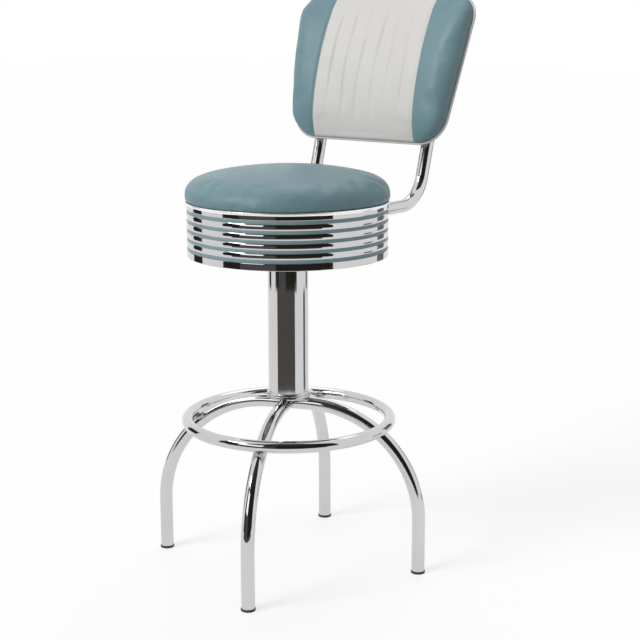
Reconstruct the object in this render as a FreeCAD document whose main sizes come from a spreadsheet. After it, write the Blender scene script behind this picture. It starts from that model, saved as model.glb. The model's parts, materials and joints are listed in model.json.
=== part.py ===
import FreeCAD, Part
import math
import os
import Sketcher

os.makedirs("parts", exist_ok=True)
doc = FreeCAD.newDocument("diner_stool")

# Driving dimensions, in millimetres and degrees
SIZES = {
    # legs and feet
    "foot_circle": 255,
    "leg_tube": 25,
    "leg_wall": 1.8,
    "leg_upright": 98,
    "leg_bend": 215,
    "base_turn": 21.8,
    "glide_width": 27,
    "glide_flange": 5,
    "glide_plug": 16,
    "plug_clearance": 0.15,
    # foot ring
    "ring_circle": 192.5,
    "ring_tube": 22.2,
    "ring_wall": 1.6,
    # column
    "hub_width": 84,
    "hub_thickness": 6,
    "column_tube": 76.2,
    "column_wall": 2.5,
    "column_length": 335,
    "collar_rim": 2.9,
    "collar_edge": 2.5,
    "collar_rise": 5.5,
    # swivel
    "housing_flange": 4,
    "housing_depth": 60,
    "housing_clearance": 0.15,
    "spindle_width": 25,
    "running_clearance": 0.1,
    "bush_wall": 3.5,
    "bush_depth": 18,
    "spindle_relief": 1.5,
    "race_thickness": 5,
    "race_width": 68,
    "race_bore": 31,
    "race_gap": 4,
    "ball_width": 8,
    "ball_circle": 24,
    "ball_count": 12,
    "ball_clearance": 0.15,
    "cage_width": 60,
    "cage_bore": 36,
    "cage_thickness": 2.4,
    "washer_width": 38,
    "washer_thickness": 3,
    "end_play": 0.3,
    "clip_width": 31,
    "clip_thickness": 1.6,
    "clip_depth": 1.5,
    "clip_opening": 9,
    "spindle_tail": 4,
    "plate_side": 200,
    "plate_thickness": 6,
    "plate_bolt_spacing": 150,
    # bolts and tee nuts
    "plate_bolt_thread": 8,
    "tube_bolt_thread": 6,
    "back_bolt_thread": 6,
    "bolt_clearance": 0.4,
    "thread_clearance": 0.1,
    "tee_barrel_wall": 1.5,
    "tee_flange_rim": 6,
    "tee_flange": 1.5,
    # seat board and cushion
    "board_width": 362,
    "board_thickness": 20,
    "cover_thickness": 1.5,
    "cushion_width": 392,
    "cushion_underhang": 9.7,
    "cushion_shoulder": 34,
    "cushion_crown": 53,
    "lip_clearance": 0.3,
    # ribbed band
    "band_fit": 0.5,
    "band_wall": 4.5,
    "band_height": 102,
    "band_above_board": 10,
    "lip_height": 6,
    "lip_flare": 4,
    "plain_zone": 8,
    "groove_height": 6.6,
    "groove_depth": 2.6,
    "groove_pitch": 17.1,
    "groove_count": 5,
    "rib_round": 1.2,
    "inlay_thickness": 1.4,
    "bracket_width": 30,
    "bracket_reach": 28,
    "bracket_drop": 24,
    "bracket_thickness": 2,
    "wood_screw_width": 4,
    "wood_screw_depth": 11,
    "wood_screw_head": 8,
    "wood_screw_head_height": 2.5,
    "bracket_screw_inset": 17,
    # back tubes
    "back_tube": 25,
    "back_tube_wall": 1.8,
    "back_tube_spacing": 257.6,
    "back_tube_overlap": 100,
    "back_tube_run": 186,
    "back_tube_bend": 70,
    "back_lean": 16,
    "back_tube_below_rest": 55.5,
    "back_tube_behind_rest": 205,
    "back_tube_hole_clearance": 0.5,
    "tube_bolt_front": 70,
    "tube_bolt_rear": 70,
    "cap_dome": 4,
    "cap_plug": 14,
    # back rest
    "rest_height": 294,
    "rest_bottom_width": 358,
    "rest_top_width": 422,
    "rest_bottom_round": 60,
    "rest_top_round": 46,
    "rest_depth": 29,
    "rest_fullest": 130,
    "rest_hollow": 1400,
    "rest_bulge": 520,
    "rest_edge_depth": 48,
    "rest_edge_sweep": 66,
    "rest_edge_narrowing": 0.5,
    "rest_seam_draw": 2.5,
    "rest_cover": 4,
    "centre_width": 238,
    "seam_gap": 0.3,
    "channel_count": 7,
    "channel_depth": 2,
    "channel_round": 5,
    "channel_sweep": 640,
    "welt_width": 5,
    "rest_board_inset": 9,
    "rest_board_thickness": 12,
    "rear_cover_inset": 5.4,
    "rear_cover_thickness": 4,
    "rear_cover_round": 2.5,
    "back_bolt_low": 60,
    "back_bolt_high": 160,
}

# Levels and reaches worked out from the driving dimensions, in the order in which they build on each other
LEVELS = {
    "leg_radius": "Sizes.leg_tube / 2",
    "ring_radius": "Sizes.ring_tube / 2",
    "leg_top": "Sizes.glide_flange + Sizes.leg_upright + Sizes.leg_bend + leg_radius",
    "ring_height": "Sizes.glide_flange + Sizes.leg_upright + sqrt("
                   "(Sizes.leg_bend + leg_radius + ring_radius)^2"
                   " - (Sizes.ring_circle - Sizes.foot_circle + Sizes.leg_bend)^2)",
    "column_foot": "leg_top + Sizes.hub_thickness",
    "column_radius": "Sizes.column_tube / 2",
    "column_head": "column_foot + Sizes.column_length",
    "housing_top": "column_head + Sizes.housing_flange",
    "housing_foot": "column_head - Sizes.housing_depth",
    "ball_height": "housing_top + Sizes.race_thickness + Sizes.race_gap / 2",
    "upper_race_foot": "housing_top + Sizes.race_thickness + Sizes.race_gap",
    "plate_foot": "upper_race_foot + Sizes.race_thickness",
    "board_foot": "plate_foot + Sizes.plate_thickness",
    "board_top": "board_foot + Sizes.board_thickness",
    "board_radius": "Sizes.board_width / 2",
    "spindle_radius": "Sizes.spindle_width / 2",
    "bush_radius": "spindle_radius + Sizes.running_clearance + Sizes.bush_wall",
    "washer_top": "housing_foot - Sizes.end_play",
    "clip_top": "washer_top - Sizes.washer_thickness",
    "spindle_foot": "clip_top - Sizes.clip_thickness - Sizes.spindle_tail",
    "cover_radius": "board_radius + Sizes.cover_thickness",
    "band_bore": "cover_radius + Sizes.band_fit",
    "band_radius": "band_bore + Sizes.band_wall",
    "band_top": "board_foot + Sizes.band_above_board",
    "band_foot": "band_top - Sizes.band_height",
    "first_groove": "Sizes.band_height - Sizes.lip_height - Sizes.plain_zone - Sizes.groove_height",
    "cushion_foot": "band_top + Sizes.lip_clearance",
    "cushion_radius": "Sizes.cushion_width / 2",
    "cushion_girth": "cushion_foot + Sizes.cushion_underhang",
    "shoulder_centre": "cushion_radius - Sizes.cushion_shoulder",
    "crown_drop": "(shoulder_centre^2 - (Sizes.cushion_crown - Sizes.cushion_shoulder)^2)"
                  " / (2 * (Sizes.cushion_crown - Sizes.cushion_shoulder))",
    "crown_radius": "crown_drop + Sizes.cushion_crown",
    "crown_span": "crown_radius - Sizes.cushion_shoulder",
    "back_tube_radius": "Sizes.back_tube / 2",
    "back_tube_height": "board_foot - back_tube_radius",
    "back_tube_side": "Sizes.back_tube_spacing / 2",
    "bend_reach": "Sizes.back_tube_bend * cos(Sizes.back_lean)",
    "bend_rise": "Sizes.back_tube_bend * (1 - sin(Sizes.back_lean))",
    "tube_offset": "Sizes.rest_board_thickness + Sizes.rear_cover_thickness + back_tube_radius",
    "rest_reach": "Sizes.back_tube_run + bend_reach + Sizes.back_tube_below_rest * sin(Sizes.back_lean)"
                  " - tube_offset * cos(Sizes.back_lean)",
    "rest_foot": "back_tube_height + bend_rise + Sizes.back_tube_below_rest * cos(Sizes.back_lean)"
                 " + tube_offset * sin(Sizes.back_lean)",
    "rear_reach": "rest_reach + Sizes.back_tube_behind_rest * sin(Sizes.back_lean)"
                  " + (tube_offset + back_tube_radius) * cos(Sizes.back_lean)",
    "front_reach": "Sizes.foot_circle * cos(Sizes.base_turn) + Sizes.glide_width / 2",
    "axis_y": "(front_reach - rear_reach) / 2",
}

sizes = doc.addObject("Spreadsheet::Sheet", "Sizes")
for row, (alias, number) in enumerate(SIZES.items(), start=1):
    sizes.set("A%d" % row, alias)
    sizes.set("B%d" % row, str(number))
    sizes.setAlias("B%d" % row, alias)
doc.recompute()

levels = doc.addObject("Spreadsheet::Sheet", "Levels")
for row, (alias, formula) in enumerate(LEVELS.items(), start=1):
    levels.set("A%d" % row, alias)
    levels.set("B%d" % row, "=" + formula)
    levels.setAlias("B%d" % row, alias)
    doc.recompute()


def size(alias):
    return float(sizes.get(alias))


def level(alias):
    return float(levels.get(alias))


# Sub-parts by name, in the order in which they are made
SUB_PARTS = {}


def sub_part(name, obj):
    obj.Label = name
    SUB_PARTS[name] = obj
    return obj


def bind(obj, bindings):
    for prop, expression in bindings.items():
        obj.setExpression(prop, expression)
    return obj


def stand(obj, height, across="0", along="0", turn=None):
    """Places obj from the swivel axis: across is +X, along is +Y and height is above the floor."""
    bind(obj, {
        "Placement.Base.x": across,
        "Placement.Base.y": "Levels.axis_y + " + along,
        "Placement.Base.z": height,
    })
    if turn is not None:
        obj.Placement.Rotation = FreeCAD.Rotation(FreeCAD.Vector(0, 0, 1), 30)
        obj.setExpression("Placement.Rotation.Angle", turn)
    return obj


def lean_back(obj):
    """Places obj in the back rest's own frame: X across, Y out of its rear face, Z up its slope."""
    stand(obj, "Levels.rest_foot", along="Levels.rest_reach")
    obj.Placement.Rotation = FreeCAD.Rotation(FreeCAD.Vector(-1, 0, 0), 30)
    obj.setExpression("Placement.Rotation.Angle", "Sizes.back_lean")
    return obj


def cylinder(radius, height, z="0", x="0", y="0"):
    solid = doc.addObject("Part::Cylinder", "Cylinder")
    bind(solid, {
        "Radius": radius,
        "Height": height,
        "Placement.Base.x": x,
        "Placement.Base.y": y,
        "Placement.Base.z": z,
    })
    return solid


def cylinder_along_y(radius, length, x, y, z):
    """A cylinder that runs from y towards +Y."""
    solid = cylinder(radius, length, z, x, y)
    solid.Placement.Rotation = FreeCAD.Rotation(FreeCAD.Vector(1, 0, 0), -90)
    return solid


def cut(base, *tools):
    result = doc.addObject("Part::Cut", "Cut")
    result.Base = base
    result.Tool = tools[0] if len(tools) == 1 else together(tools)
    return result


def fuse(first, second):
    result = doc.addObject("Part::Fuse", "Fuse")
    result.Base = first
    result.Tool = second
    return result


def together(members):
    result = doc.addObject("Part::Compound", "Group")
    result.Links = list(members)
    return result


def pipe_ring(outer, inner, height):
    return cut(cylinder(outer, height), cylinder(inner, height))


def hexagon_bolt(thread, shank):
    """A bolt with its head's upper face at z = 0 and its shank going up."""
    head = doc.addObject("Part::Prism", "Head")
    head.Polygon = 6
    bind(head, {
        "Circumradius": thread + " * 0.92",
        "Height": thread + " * 0.6",
        "Placement.Base.z": "-" + thread + " * 0.6",
    })
    return fuse(head, cylinder(thread + " / 2", shank))


def tee_nut(thread, barrel):
    """A tee nut hanging from its flange, whose upper face is at z = 0."""
    bore = thread + " / 2 + Sizes.thread_clearance"
    barrel_radius = bore + " + Sizes.tee_barrel_wall"
    flange = cylinder(barrel_radius + " + Sizes.tee_flange_rim", "Sizes.tee_flange", "-Sizes.tee_flange")
    body = cylinder(barrel_radius, barrel, "-" + barrel)
    return cut(fuse(flange, body), cylinder(bore, barrel, "-" + barrel))


def tee_nut_seat(thread, depth, x, y):
    """The hole and the flange recess for a tee nut in a board whose upper face is at z = depth."""
    barrel_radius = thread + " / 2 + Sizes.thread_clearance + Sizes.tee_barrel_wall"
    hole = cylinder(barrel_radius, depth, "0", x, y)
    recess = cylinder(barrel_radius + " + Sizes.tee_flange_rim", "Sizes.tee_flange",
                      depth + " - Sizes.tee_flange", x, y)
    return fuse(hole, recess)


# Numbers for first guesses in sketches, read from a scratch cell of the levels sheet
PROBE = "D1"


def number(expression):
    levels.set(PROBE, "=" + expression)
    levels.recompute()
    return float(levels.get(PROBE))


def origin_plane(body, role):
    for feature in body.Origin.OriginFeatures:
        if feature.Role == role:
            return feature
    raise ValueError(role)


def new_sketch(body, role):
    sketch = body.newObject("Sketcher::SketchObject", "Sketch")
    sketch.AttachmentSupport = [(origin_plane(body, role), "")]
    sketch.MapMode = "FlatFace"
    return sketch


def pin(sketch, geometry, point, x, y):
    """Ties a point of a sketch to the two expressions x and y, measured from the origin."""
    for kind, expression in (("DistanceX", x), ("DistanceY", y)):
        index = sketch.addConstraint(Sketcher.Constraint(kind, -1, 1, geometry, point, number(expression)))
        sketch.setExpression("Constraints[%d]" % index, expression)


def outline(sketch, corners, closed=True):
    """Draws corners (x, y) or (x, y, radius, side) as lines; a radius makes the edge that leads there an arc.

    side is +1 where the arc turns anticlockwise from the corner before it, and -1 where it turns clockwise.
    """
    places = [FreeCAD.Vector(number(c[0]), number(c[1]), 0) for c in corners]
    edges = []
    first = 0 if closed else 1
    for end in range(first, len(corners)):
        start = (end - 1) % len(corners)
        a, b = places[start], places[end]
        if len(corners[end]) == 2:
            edges.append((sketch.addGeometry(Part.LineSegment(a, b)), 1, 2, None))
            continue
        radius, side = number(corners[end][2]), corners[end][3]
        chord = b - a
        half = chord.Length / 2
        across = FreeCAD.Vector(-chord.y, chord.x, 0).normalize() * side
        centre = (a + b) * 0.5 + across * math.sqrt(max(radius * radius - half * half, 0))
        angle_a = math.atan2(a.y - centre.y, a.x - centre.x)
        angle_b = math.atan2(b.y - centre.y, b.x - centre.x)
        circle = Part.Circle(centre, FreeCAD.Vector(0, 0, 1), radius)
        if side > 0:
            arc, head, tail = Part.ArcOfCircle(circle, angle_a, angle_b), 1, 2
        else:
            arc, head, tail = Part.ArcOfCircle(circle, angle_b, angle_a), 2, 1
        edges.append((sketch.addGeometry(arc), head, tail, corners[end][2]))
    count = len(edges)
    for k in range(count if closed else count - 1):
        edge, following = edges[k], edges[(k + 1) % count]
        sketch.addConstraint(Sketcher.Constraint("Coincident", edge[0], edge[2], following[0], following[1]))
    if not closed:
        pin(sketch, edges[0][0], edges[0][1], *corners[0][:2])
    for k, edge in enumerate(edges):
        pin(sketch, edge[0], edge[2], *corners[first + k][:2])
        if edge[3] is not None:
            index = sketch.addConstraint(Sketcher.Constraint("Radius", edge[0], number(edge[3])))
            sketch.setExpression("Constraints[%d]" % index, edge[3])


def ring_mark(sketch, radius, x="0", y="0"):
    """Draws a circle of the given radius about (x, y)."""
    centre = FreeCAD.Vector(number(x), number(y), 0)
    circle = sketch.addGeometry(Part.Circle(centre, FreeCAD.Vector(0, 0, 1), number(radius)))
    pin(sketch, circle, 3, x, y)
    index = sketch.addConstraint(Sketcher.Constraint("Radius", circle, number(radius)))
    sketch.setExpression("Constraints[%d]" % index, radius)


def turned(corners):
    """A body turned about Z from corners in radius and height."""
    body = doc.addObject("PartDesign::Body", "Turned")
    sketch = new_sketch(body, "XZ_Plane")
    outline(sketch, corners)
    revolution = body.newObject("PartDesign::Revolution", "Revolution")
    revolution.Profile = sketch
    revolution.ReferenceAxis = (sketch, ["V_Axis"])
    revolution.Angle = 360
    return body


def bent_tube(path, role, profile_role, radius, wall):
    """A body whose round tube starts at the origin and follows the path drawn on the plane role."""
    body = doc.addObject("PartDesign::Body", "Tube")
    spine = new_sketch(body, role)
    outline(spine, path, closed=False)
    profile = new_sketch(body, profile_role)
    ring_mark(profile, radius)
    ring_mark(profile, radius + " - " + wall)
    doc.recompute()
    pipe = body.newObject("PartDesign::AdditivePipe", "Pipe")
    pipe.Profile = profile
    pipe.Spine = spine
    return body


def pocket_through(body, draw, role="XY_Plane"):
    sketch = new_sketch(body, role)
    draw(sketch)
    pocket = body.newObject("PartDesign::Pocket", "Pocket")
    pocket.Profile = sketch
    pocket.Type = 1
    pocket.Midplane = True
    return pocket


# Legs: each goes up from its glide, bends a quarter turn and is mitred against its neighbours under the column
LEG_NAMES = ["right", "rear", "left", "front"]


def mitre(sketch):
    outline(sketch, [
        ("-Sizes.foot_circle", "0"),
        ("-Sizes.foot_circle + Sizes.leg_tube", "Sizes.leg_tube"),
        ("-Sizes.foot_circle - Sizes.leg_tube", "Sizes.leg_tube"),
        ("-Sizes.foot_circle - Sizes.leg_tube", "-Sizes.leg_tube"),
        ("-Sizes.foot_circle + Sizes.leg_tube", "-Sizes.leg_tube"),
    ])


def at_foot(obj, quarter, height):
    turn = "Sizes.base_turn + %d" % (90 * quarter)
    return stand(obj, height, "Sizes.foot_circle * cos(%s)" % turn, "Sizes.foot_circle * sin(%s)" % turn, turn)


for quarter, side in enumerate(LEG_NAMES):
    leg = bent_tube(
        [
            ("0", "0"),
            ("0", "Sizes.leg_upright"),
            ("-Sizes.leg_bend", "Sizes.leg_upright + Sizes.leg_bend", "Sizes.leg_bend", 1),
            ("-Sizes.foot_circle - Sizes.leg_tube", "Sizes.leg_upright + Sizes.leg_bend"),
        ],
        "XZ_Plane", "XY_Plane", "Levels.leg_radius", "Sizes.leg_wall")
    doc.recompute()
    pocket_through(leg, mitre)
    sub_part("leg_" + side, at_foot(leg, quarter, "Sizes.glide_flange"))

for quarter, side in enumerate(LEG_NAMES):
    plug = "Levels.leg_radius - Sizes.leg_wall - Sizes.plug_clearance"
    glide = turned([
        ("0", "0"),
        ("Sizes.glide_width / 2 - 1.5", "0"),
        ("Sizes.glide_width / 2", "1.5"),
        ("Sizes.glide_width / 2", "Sizes.glide_flange"),
        (plug, "Sizes.glide_flange"),
        (plug, "Sizes.glide_flange + Sizes.glide_plug"),
        ("0", "Sizes.glide_flange + Sizes.glide_plug"),
    ])
    sub_part("glide_" + side, at_foot(glide, quarter, "0"))


# Foot ring: lies on the four bends and touches each of them
def torus(circle, section, height="0"):
    solid = doc.addObject("Part::Torus", "Torus")
    bind(solid, {"Radius1": circle, "Radius2": section, "Placement.Base.z": height})
    return solid


foot_ring = cut(
    torus("Sizes.ring_circle", "Levels.ring_radius"),
    torus("Sizes.ring_circle", "Levels.ring_radius - Sizes.ring_wall"))
sub_part("foot_ring", stand(foot_ring, "Levels.ring_height"))

# Column: a hub plate on the mitred legs, the tube and the welded collar at its foot
hub_plate = cylinder("Sizes.hub_width / 2", "Sizes.hub_thickness")
sub_part("hub_plate", stand(hub_plate, "Levels.leg_top"))

column_tube = pipe_ring("Levels.column_radius", "Levels.column_radius - Sizes.column_wall", "Sizes.column_length")
sub_part("column_tube", stand(column_tube, "Levels.column_foot"))

column_collar = turned([
    ("Levels.column_radius", "0"),
    ("Levels.column_radius + Sizes.collar_rim", "0"),
    ("Levels.column_radius + Sizes.collar_rim", "Sizes.collar_edge"),
    ("Levels.column_radius", "Sizes.collar_rise"),
])
sub_part("column_collar", stand(column_collar, "Levels.column_foot"))

# Bearing housing: hangs in the column by its flange and holds a bush at each end
spigot = "Levels.column_radius - Sizes.column_wall - Sizes.housing_clearance"
relief = "Levels.spindle_radius + Sizes.spindle_relief"
bearing_housing = turned([
    ("Levels.bush_radius", "-Sizes.housing_depth"),
    (spigot, "-Sizes.housing_depth"),
    (spigot, "0"),
    ("Levels.column_radius", "0"),
    ("Levels.column_radius", "Sizes.housing_flange"),
    ("Levels.bush_radius", "Sizes.housing_flange"),
    ("Levels.bush_radius", "Sizes.housing_flange - Sizes.bush_depth"),
    (relief, "Sizes.housing_flange - Sizes.bush_depth"),
    (relief, "Sizes.bush_depth - Sizes.housing_depth"),
    ("Levels.bush_radius", "Sizes.bush_depth - Sizes.housing_depth"),
])
sub_part("bearing_housing", stand(bearing_housing, "Levels.column_head"))

for name, height in (
    ("upper_bush", "Levels.housing_top - Sizes.bush_depth"),
    ("lower_bush", "Levels.housing_foot"),
):
    bush = pipe_ring("Levels.bush_radius", "Levels.spindle_radius + Sizes.running_clearance", "Sizes.bush_depth")
    sub_part(name, stand(bush, height))


# Thrust bearing: two grooved races with a caged ring of balls between them
def race(groove_height):
    ring = pipe_ring("Sizes.race_width / 2", "Sizes.race_bore / 2", "Sizes.race_thickness")
    return cut(ring, torus("Sizes.ball_circle", "Sizes.ball_width / 2 + Sizes.ball_clearance", groove_height))


sub_part("lower_race", stand(race("Sizes.race_thickness + Sizes.race_gap / 2"), "Levels.housing_top"))

cage = doc.addObject("PartDesign::Body", "Cage")
cage_sketch = new_sketch(cage, "XY_Plane")
ring_mark(cage_sketch, "Sizes.cage_width / 2")
ring_mark(cage_sketch, "Sizes.cage_bore / 2")
cage_pad = cage.newObject("PartDesign::Pad", "Pad")
cage_pad.Profile = cage_sketch
cage_pad.Midplane = True
cage_pad.setExpression("Length", "Sizes.cage_thickness")
doc.recompute()
cage_pocket = pocket_through(
    cage, lambda sketch: ring_mark(sketch, "Sizes.ball_width / 2 + Sizes.ball_clearance", "Sizes.ball_circle"))
doc.recompute()
cage_pattern = cage.newObject("PartDesign::PolarPattern", "PolarPattern")
cage_pattern.Originals = [cage_pocket]
cage_pattern.Axis = (origin_plane(cage, "Z_Axis"), [""])
cage_pattern.Angle = 360
cage_pattern.setExpression("Occurrences", "Sizes.ball_count")
cage.Tip = cage_pattern
sub_part("ball_cage", stand(cage, "Levels.ball_height"))

balls = []
for k in range(int(size("ball_count"))):
    ball = doc.addObject("Part::Sphere", "Ball")
    angle = "(%d * 360 / Sizes.ball_count)" % k
    bind(ball, {
        "Radius": "Sizes.ball_width / 2",
        "Placement.Base.x": "Sizes.ball_circle * cos%s" % angle,
        "Placement.Base.y": "Sizes.ball_circle * sin%s" % angle,
    })
    balls.append(ball)
sub_part("bearing_balls", stand(together(balls), "Levels.ball_height"))

sub_part("upper_race", stand(race("-Sizes.race_gap / 2"), "Levels.upper_race_foot"))

# Spindle: welded in the swivel plate, runs in the two bushes and is held by a washer and a clip
spindle = turned([
    ("0", "Levels.spindle_foot"),
    ("Levels.spindle_radius - 1", "Levels.spindle_foot"),
    ("Levels.spindle_radius", "Levels.spindle_foot + 1"),
    ("Levels.spindle_radius", "Levels.clip_top - Sizes.clip_thickness"),
    ("Levels.spindle_radius - Sizes.clip_depth", "Levels.clip_top - Sizes.clip_thickness"),
    ("Levels.spindle_radius - Sizes.clip_depth", "Levels.clip_top"),
    ("Levels.spindle_radius", "Levels.clip_top"),
    ("Levels.spindle_radius", "Levels.board_foot"),
    ("0", "Levels.board_foot"),
])
sub_part("spindle", stand(spindle, "0"))

washer = pipe_ring("Sizes.washer_width / 2", "Levels.spindle_radius + Sizes.running_clearance",
                   "Sizes.washer_thickness")
sub_part("spindle_washer", stand(washer, "Levels.clip_top"))

clip_slot = doc.addObject("Part::Box", "ClipSlot")
bind(clip_slot, {
    "Length": "Sizes.clip_width",
    "Width": "Sizes.clip_opening",
    "Height": "Sizes.clip_thickness",
    "Placement.Base.y": "-Sizes.clip_opening / 2",
})
clip = cut(
    cylinder("Sizes.clip_width / 2", "Sizes.clip_thickness"),
    cylinder("Levels.spindle_radius - Sizes.clip_depth", "Sizes.clip_thickness"),
    clip_slot)
sub_part("spindle_clip", stand(clip, "Levels.clip_top - Sizes.clip_thickness"))

# Swivel plate: square, with the spindle's hole and a bolt hole near each corner
CORNERS = [(1, 1), (-1, 1), (-1, -1), (1, -1)]
plate = doc.addObject("PartDesign::Body", "Plate")
plate_sketch = new_sketch(plate, "XY_Plane")
outline(plate_sketch, [("%d * Sizes.plate_side / 2" % a, "%d * Sizes.plate_side / 2" % b) for a, b in CORNERS])
ring_mark(plate_sketch, "Levels.spindle_radius")
for a, b in CORNERS:
    ring_mark(plate_sketch, "(Sizes.plate_bolt_thread + Sizes.bolt_clearance) / 2",
              "%d * Sizes.plate_bolt_spacing / 2" % a, "%d * Sizes.plate_bolt_spacing / 2" % b)
plate_pad = plate.newObject("PartDesign::Pad", "Pad")
plate_pad.Profile = plate_sketch
plate_pad.setExpression("Length", "Sizes.plate_thickness")
sub_part("swivel_plate", stand(plate, "Levels.plate_foot"))

# Fasteners under the seat board
PLATE_PLACES = [("%d * Sizes.plate_bolt_spacing / 2" % a, "%d * Sizes.plate_bolt_spacing / 2" % b)
                for a, b in CORNERS]
TUBE_PLACES = [("%d * Levels.back_tube_side" % side, along)
               for side in (-1, 1) for along in ("-Sizes.tube_bolt_front", "Sizes.tube_bolt_rear")]


def at_places(places, height, make):
    members = []
    for x, y in places:
        member = make()
        bind(member, {"Placement.Base.x": x, "Placement.Base.y": y, "Placement.Base.z": height})
        members.append(member)
    return together(members)


bolt_end = "Sizes.board_thickness - Sizes.tee_flange"
plate_bolts = at_places(PLATE_PLACES, "Levels.plate_foot",
                        lambda: hexagon_bolt("Sizes.plate_bolt_thread", "Sizes.plate_thickness + " + bolt_end))
sub_part("plate_bolts", stand(plate_bolts, "0"))
tube_bolts = at_places(TUBE_PLACES, "Levels.board_foot - Sizes.back_tube",
                       lambda: hexagon_bolt("Sizes.tube_bolt_thread", "Sizes.back_tube + " + bolt_end))
sub_part("tube_bolts", stand(tube_bolts, "0"))
plate_tee_nuts = at_places(PLATE_PLACES, "Levels.board_top",
                           lambda: tee_nut("Sizes.plate_bolt_thread", "(Sizes.board_thickness - 2)"))
sub_part("plate_tee_nuts", stand(plate_tee_nuts, "0"))
tube_tee_nuts = at_places(TUBE_PLACES, "Levels.board_top",
                          lambda: tee_nut("Sizes.tube_bolt_thread", "(Sizes.board_thickness - 2)"))
sub_part("tube_tee_nuts", stand(tube_tee_nuts, "0"))

# Band brackets: four sheet angles that hold the band to the seat board
bracket_face = "sqrt(Levels.band_bore^2 - Sizes.bracket_width^2 / 4)"
bracket_turns = [0, 90, 180, 270]


def bracket(turn):
    upright = doc.addObject("Part::Box", "Upright")
    bind(upright, {
        "Length": "Sizes.bracket_thickness",
        "Width": "Sizes.bracket_width",
        "Height": "Sizes.bracket_drop",
        "Placement.Base.x": bracket_face + " - Sizes.bracket_thickness",
        "Placement.Base.y": "-Sizes.bracket_width / 2",
        "Placement.Base.z": "-Sizes.bracket_drop",
    })
    shelf = doc.addObject("Part::Box", "Shelf")
    bind(shelf, {
        "Length": "Sizes.bracket_reach",
        "Width": "Sizes.bracket_width",
        "Height": "Sizes.bracket_thickness",
        "Placement.Base.x": bracket_face + " - Sizes.bracket_reach",
        "Placement.Base.y": "-Sizes.bracket_width / 2",
        "Placement.Base.z": "-Sizes.bracket_thickness",
    })
    hole = cylinder("Sizes.wood_screw_width / 2", "Sizes.bracket_thickness", "-Sizes.bracket_thickness",
                    bracket_face + " - Sizes.bracket_screw_inset")
    angle = cut(fuse(upright, shelf), hole)
    angle.Placement.Rotation = FreeCAD.Rotation(FreeCAD.Vector(0, 0, 1), turn)
    return angle


def bracket_screw(turn):
    x = bracket_face + " - Sizes.bracket_screw_inset"
    shank = cylinder("Sizes.wood_screw_width / 2", "Sizes.bracket_thickness + Sizes.wood_screw_depth",
                     "-Sizes.bracket_thickness", x)
    head = cylinder("Sizes.wood_screw_head / 2", "Sizes.wood_screw_head_height",
                    "-Sizes.bracket_thickness - Sizes.wood_screw_head_height", x)
    screw = fuse(shank, head)
    screw.Placement.Rotation = FreeCAD.Rotation(FreeCAD.Vector(0, 0, 1), turn)
    return screw


sub_part("band_brackets", stand(together([bracket(turn) for turn in bracket_turns]), "Levels.board_foot"))
sub_part("bracket_screws", stand(together([bracket_screw(turn) for turn in bracket_turns]), "Levels.board_foot"))

# Seat board: a plywood disc with its tee nut seats and screw holes
board_tools = [tee_nut_seat("Sizes.plate_bolt_thread", "Sizes.board_thickness", x, y) for x, y in PLATE_PLACES]
board_tools += [tee_nut_seat("Sizes.tube_bolt_thread", "Sizes.board_thickness", x, y) for x, y in TUBE_PLACES]
for turn in bracket_turns:
    pilot = "(%s - Sizes.bracket_screw_inset)" % bracket_face
    board_tools.append(cylinder("Sizes.wood_screw_width / 2", "Sizes.wood_screw_depth", "0",
                                "%s * cos(%d)" % (pilot, turn), "%s * sin(%d)" % (pilot, turn)))
seat_board = cut(cylinder("Levels.board_radius", "Sizes.board_thickness"), *board_tools)
sub_part("seat_board", stand(seat_board, "Levels.board_foot"))


# Cushion: a crown arc and a shoulder arc that meet in tangent, drawn in below the girth to the band's lip
def cushion_side(inset):
    """The cushion's skin, inset by a thickness, from its overhang above the band to its crown."""
    shoulder = "(Sizes.cushion_shoulder - %s)" % inset
    underhang = "(Sizes.cushion_underhang - %s)" % inset
    return [
        ("Levels.cushion_radius - Sizes.cushion_underhang", "Levels.cushion_girth - " + underhang),
        ("Levels.cushion_radius - " + inset, "Levels.cushion_girth", underhang, 1),
        ("Levels.shoulder_centre * (1 + %s / Levels.crown_span)" % shoulder,
         "Levels.cushion_girth + %s * Levels.crown_drop / Levels.crown_span" % shoulder, shoulder, 1),
        ("0", "Levels.cushion_girth + Sizes.cushion_crown - " + inset, "Levels.crown_radius - " + inset, 1),
    ]


skin = "Sizes.cover_thickness"
seat_foam = turned([("0", "Levels.board_top"), ("Levels.board_radius", "Levels.board_top"),
                    ("Levels.board_radius", "Levels.cushion_foot + " + skin)] + cushion_side(skin))
sub_part("seat_foam", stand(seat_foam, "0"))

outer_side = cushion_side("0")
inner_side = cushion_side(skin)
inward = [inner_side[3][:2]]
for k in (2, 1, 0):
    inward.append(inner_side[k][:2] + (inner_side[k + 1][2], -1))
seat_cover = turned(
    [("Levels.board_radius", "Levels.board_foot"), ("Levels.cover_radius", "Levels.board_foot"),
     ("Levels.cover_radius", "Levels.cushion_foot")]
    + outer_side + inward + [("Levels.board_radius", "Levels.cushion_foot + " + skin)])
sub_part("seat_cover", stand(seat_cover, "0"))

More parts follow.
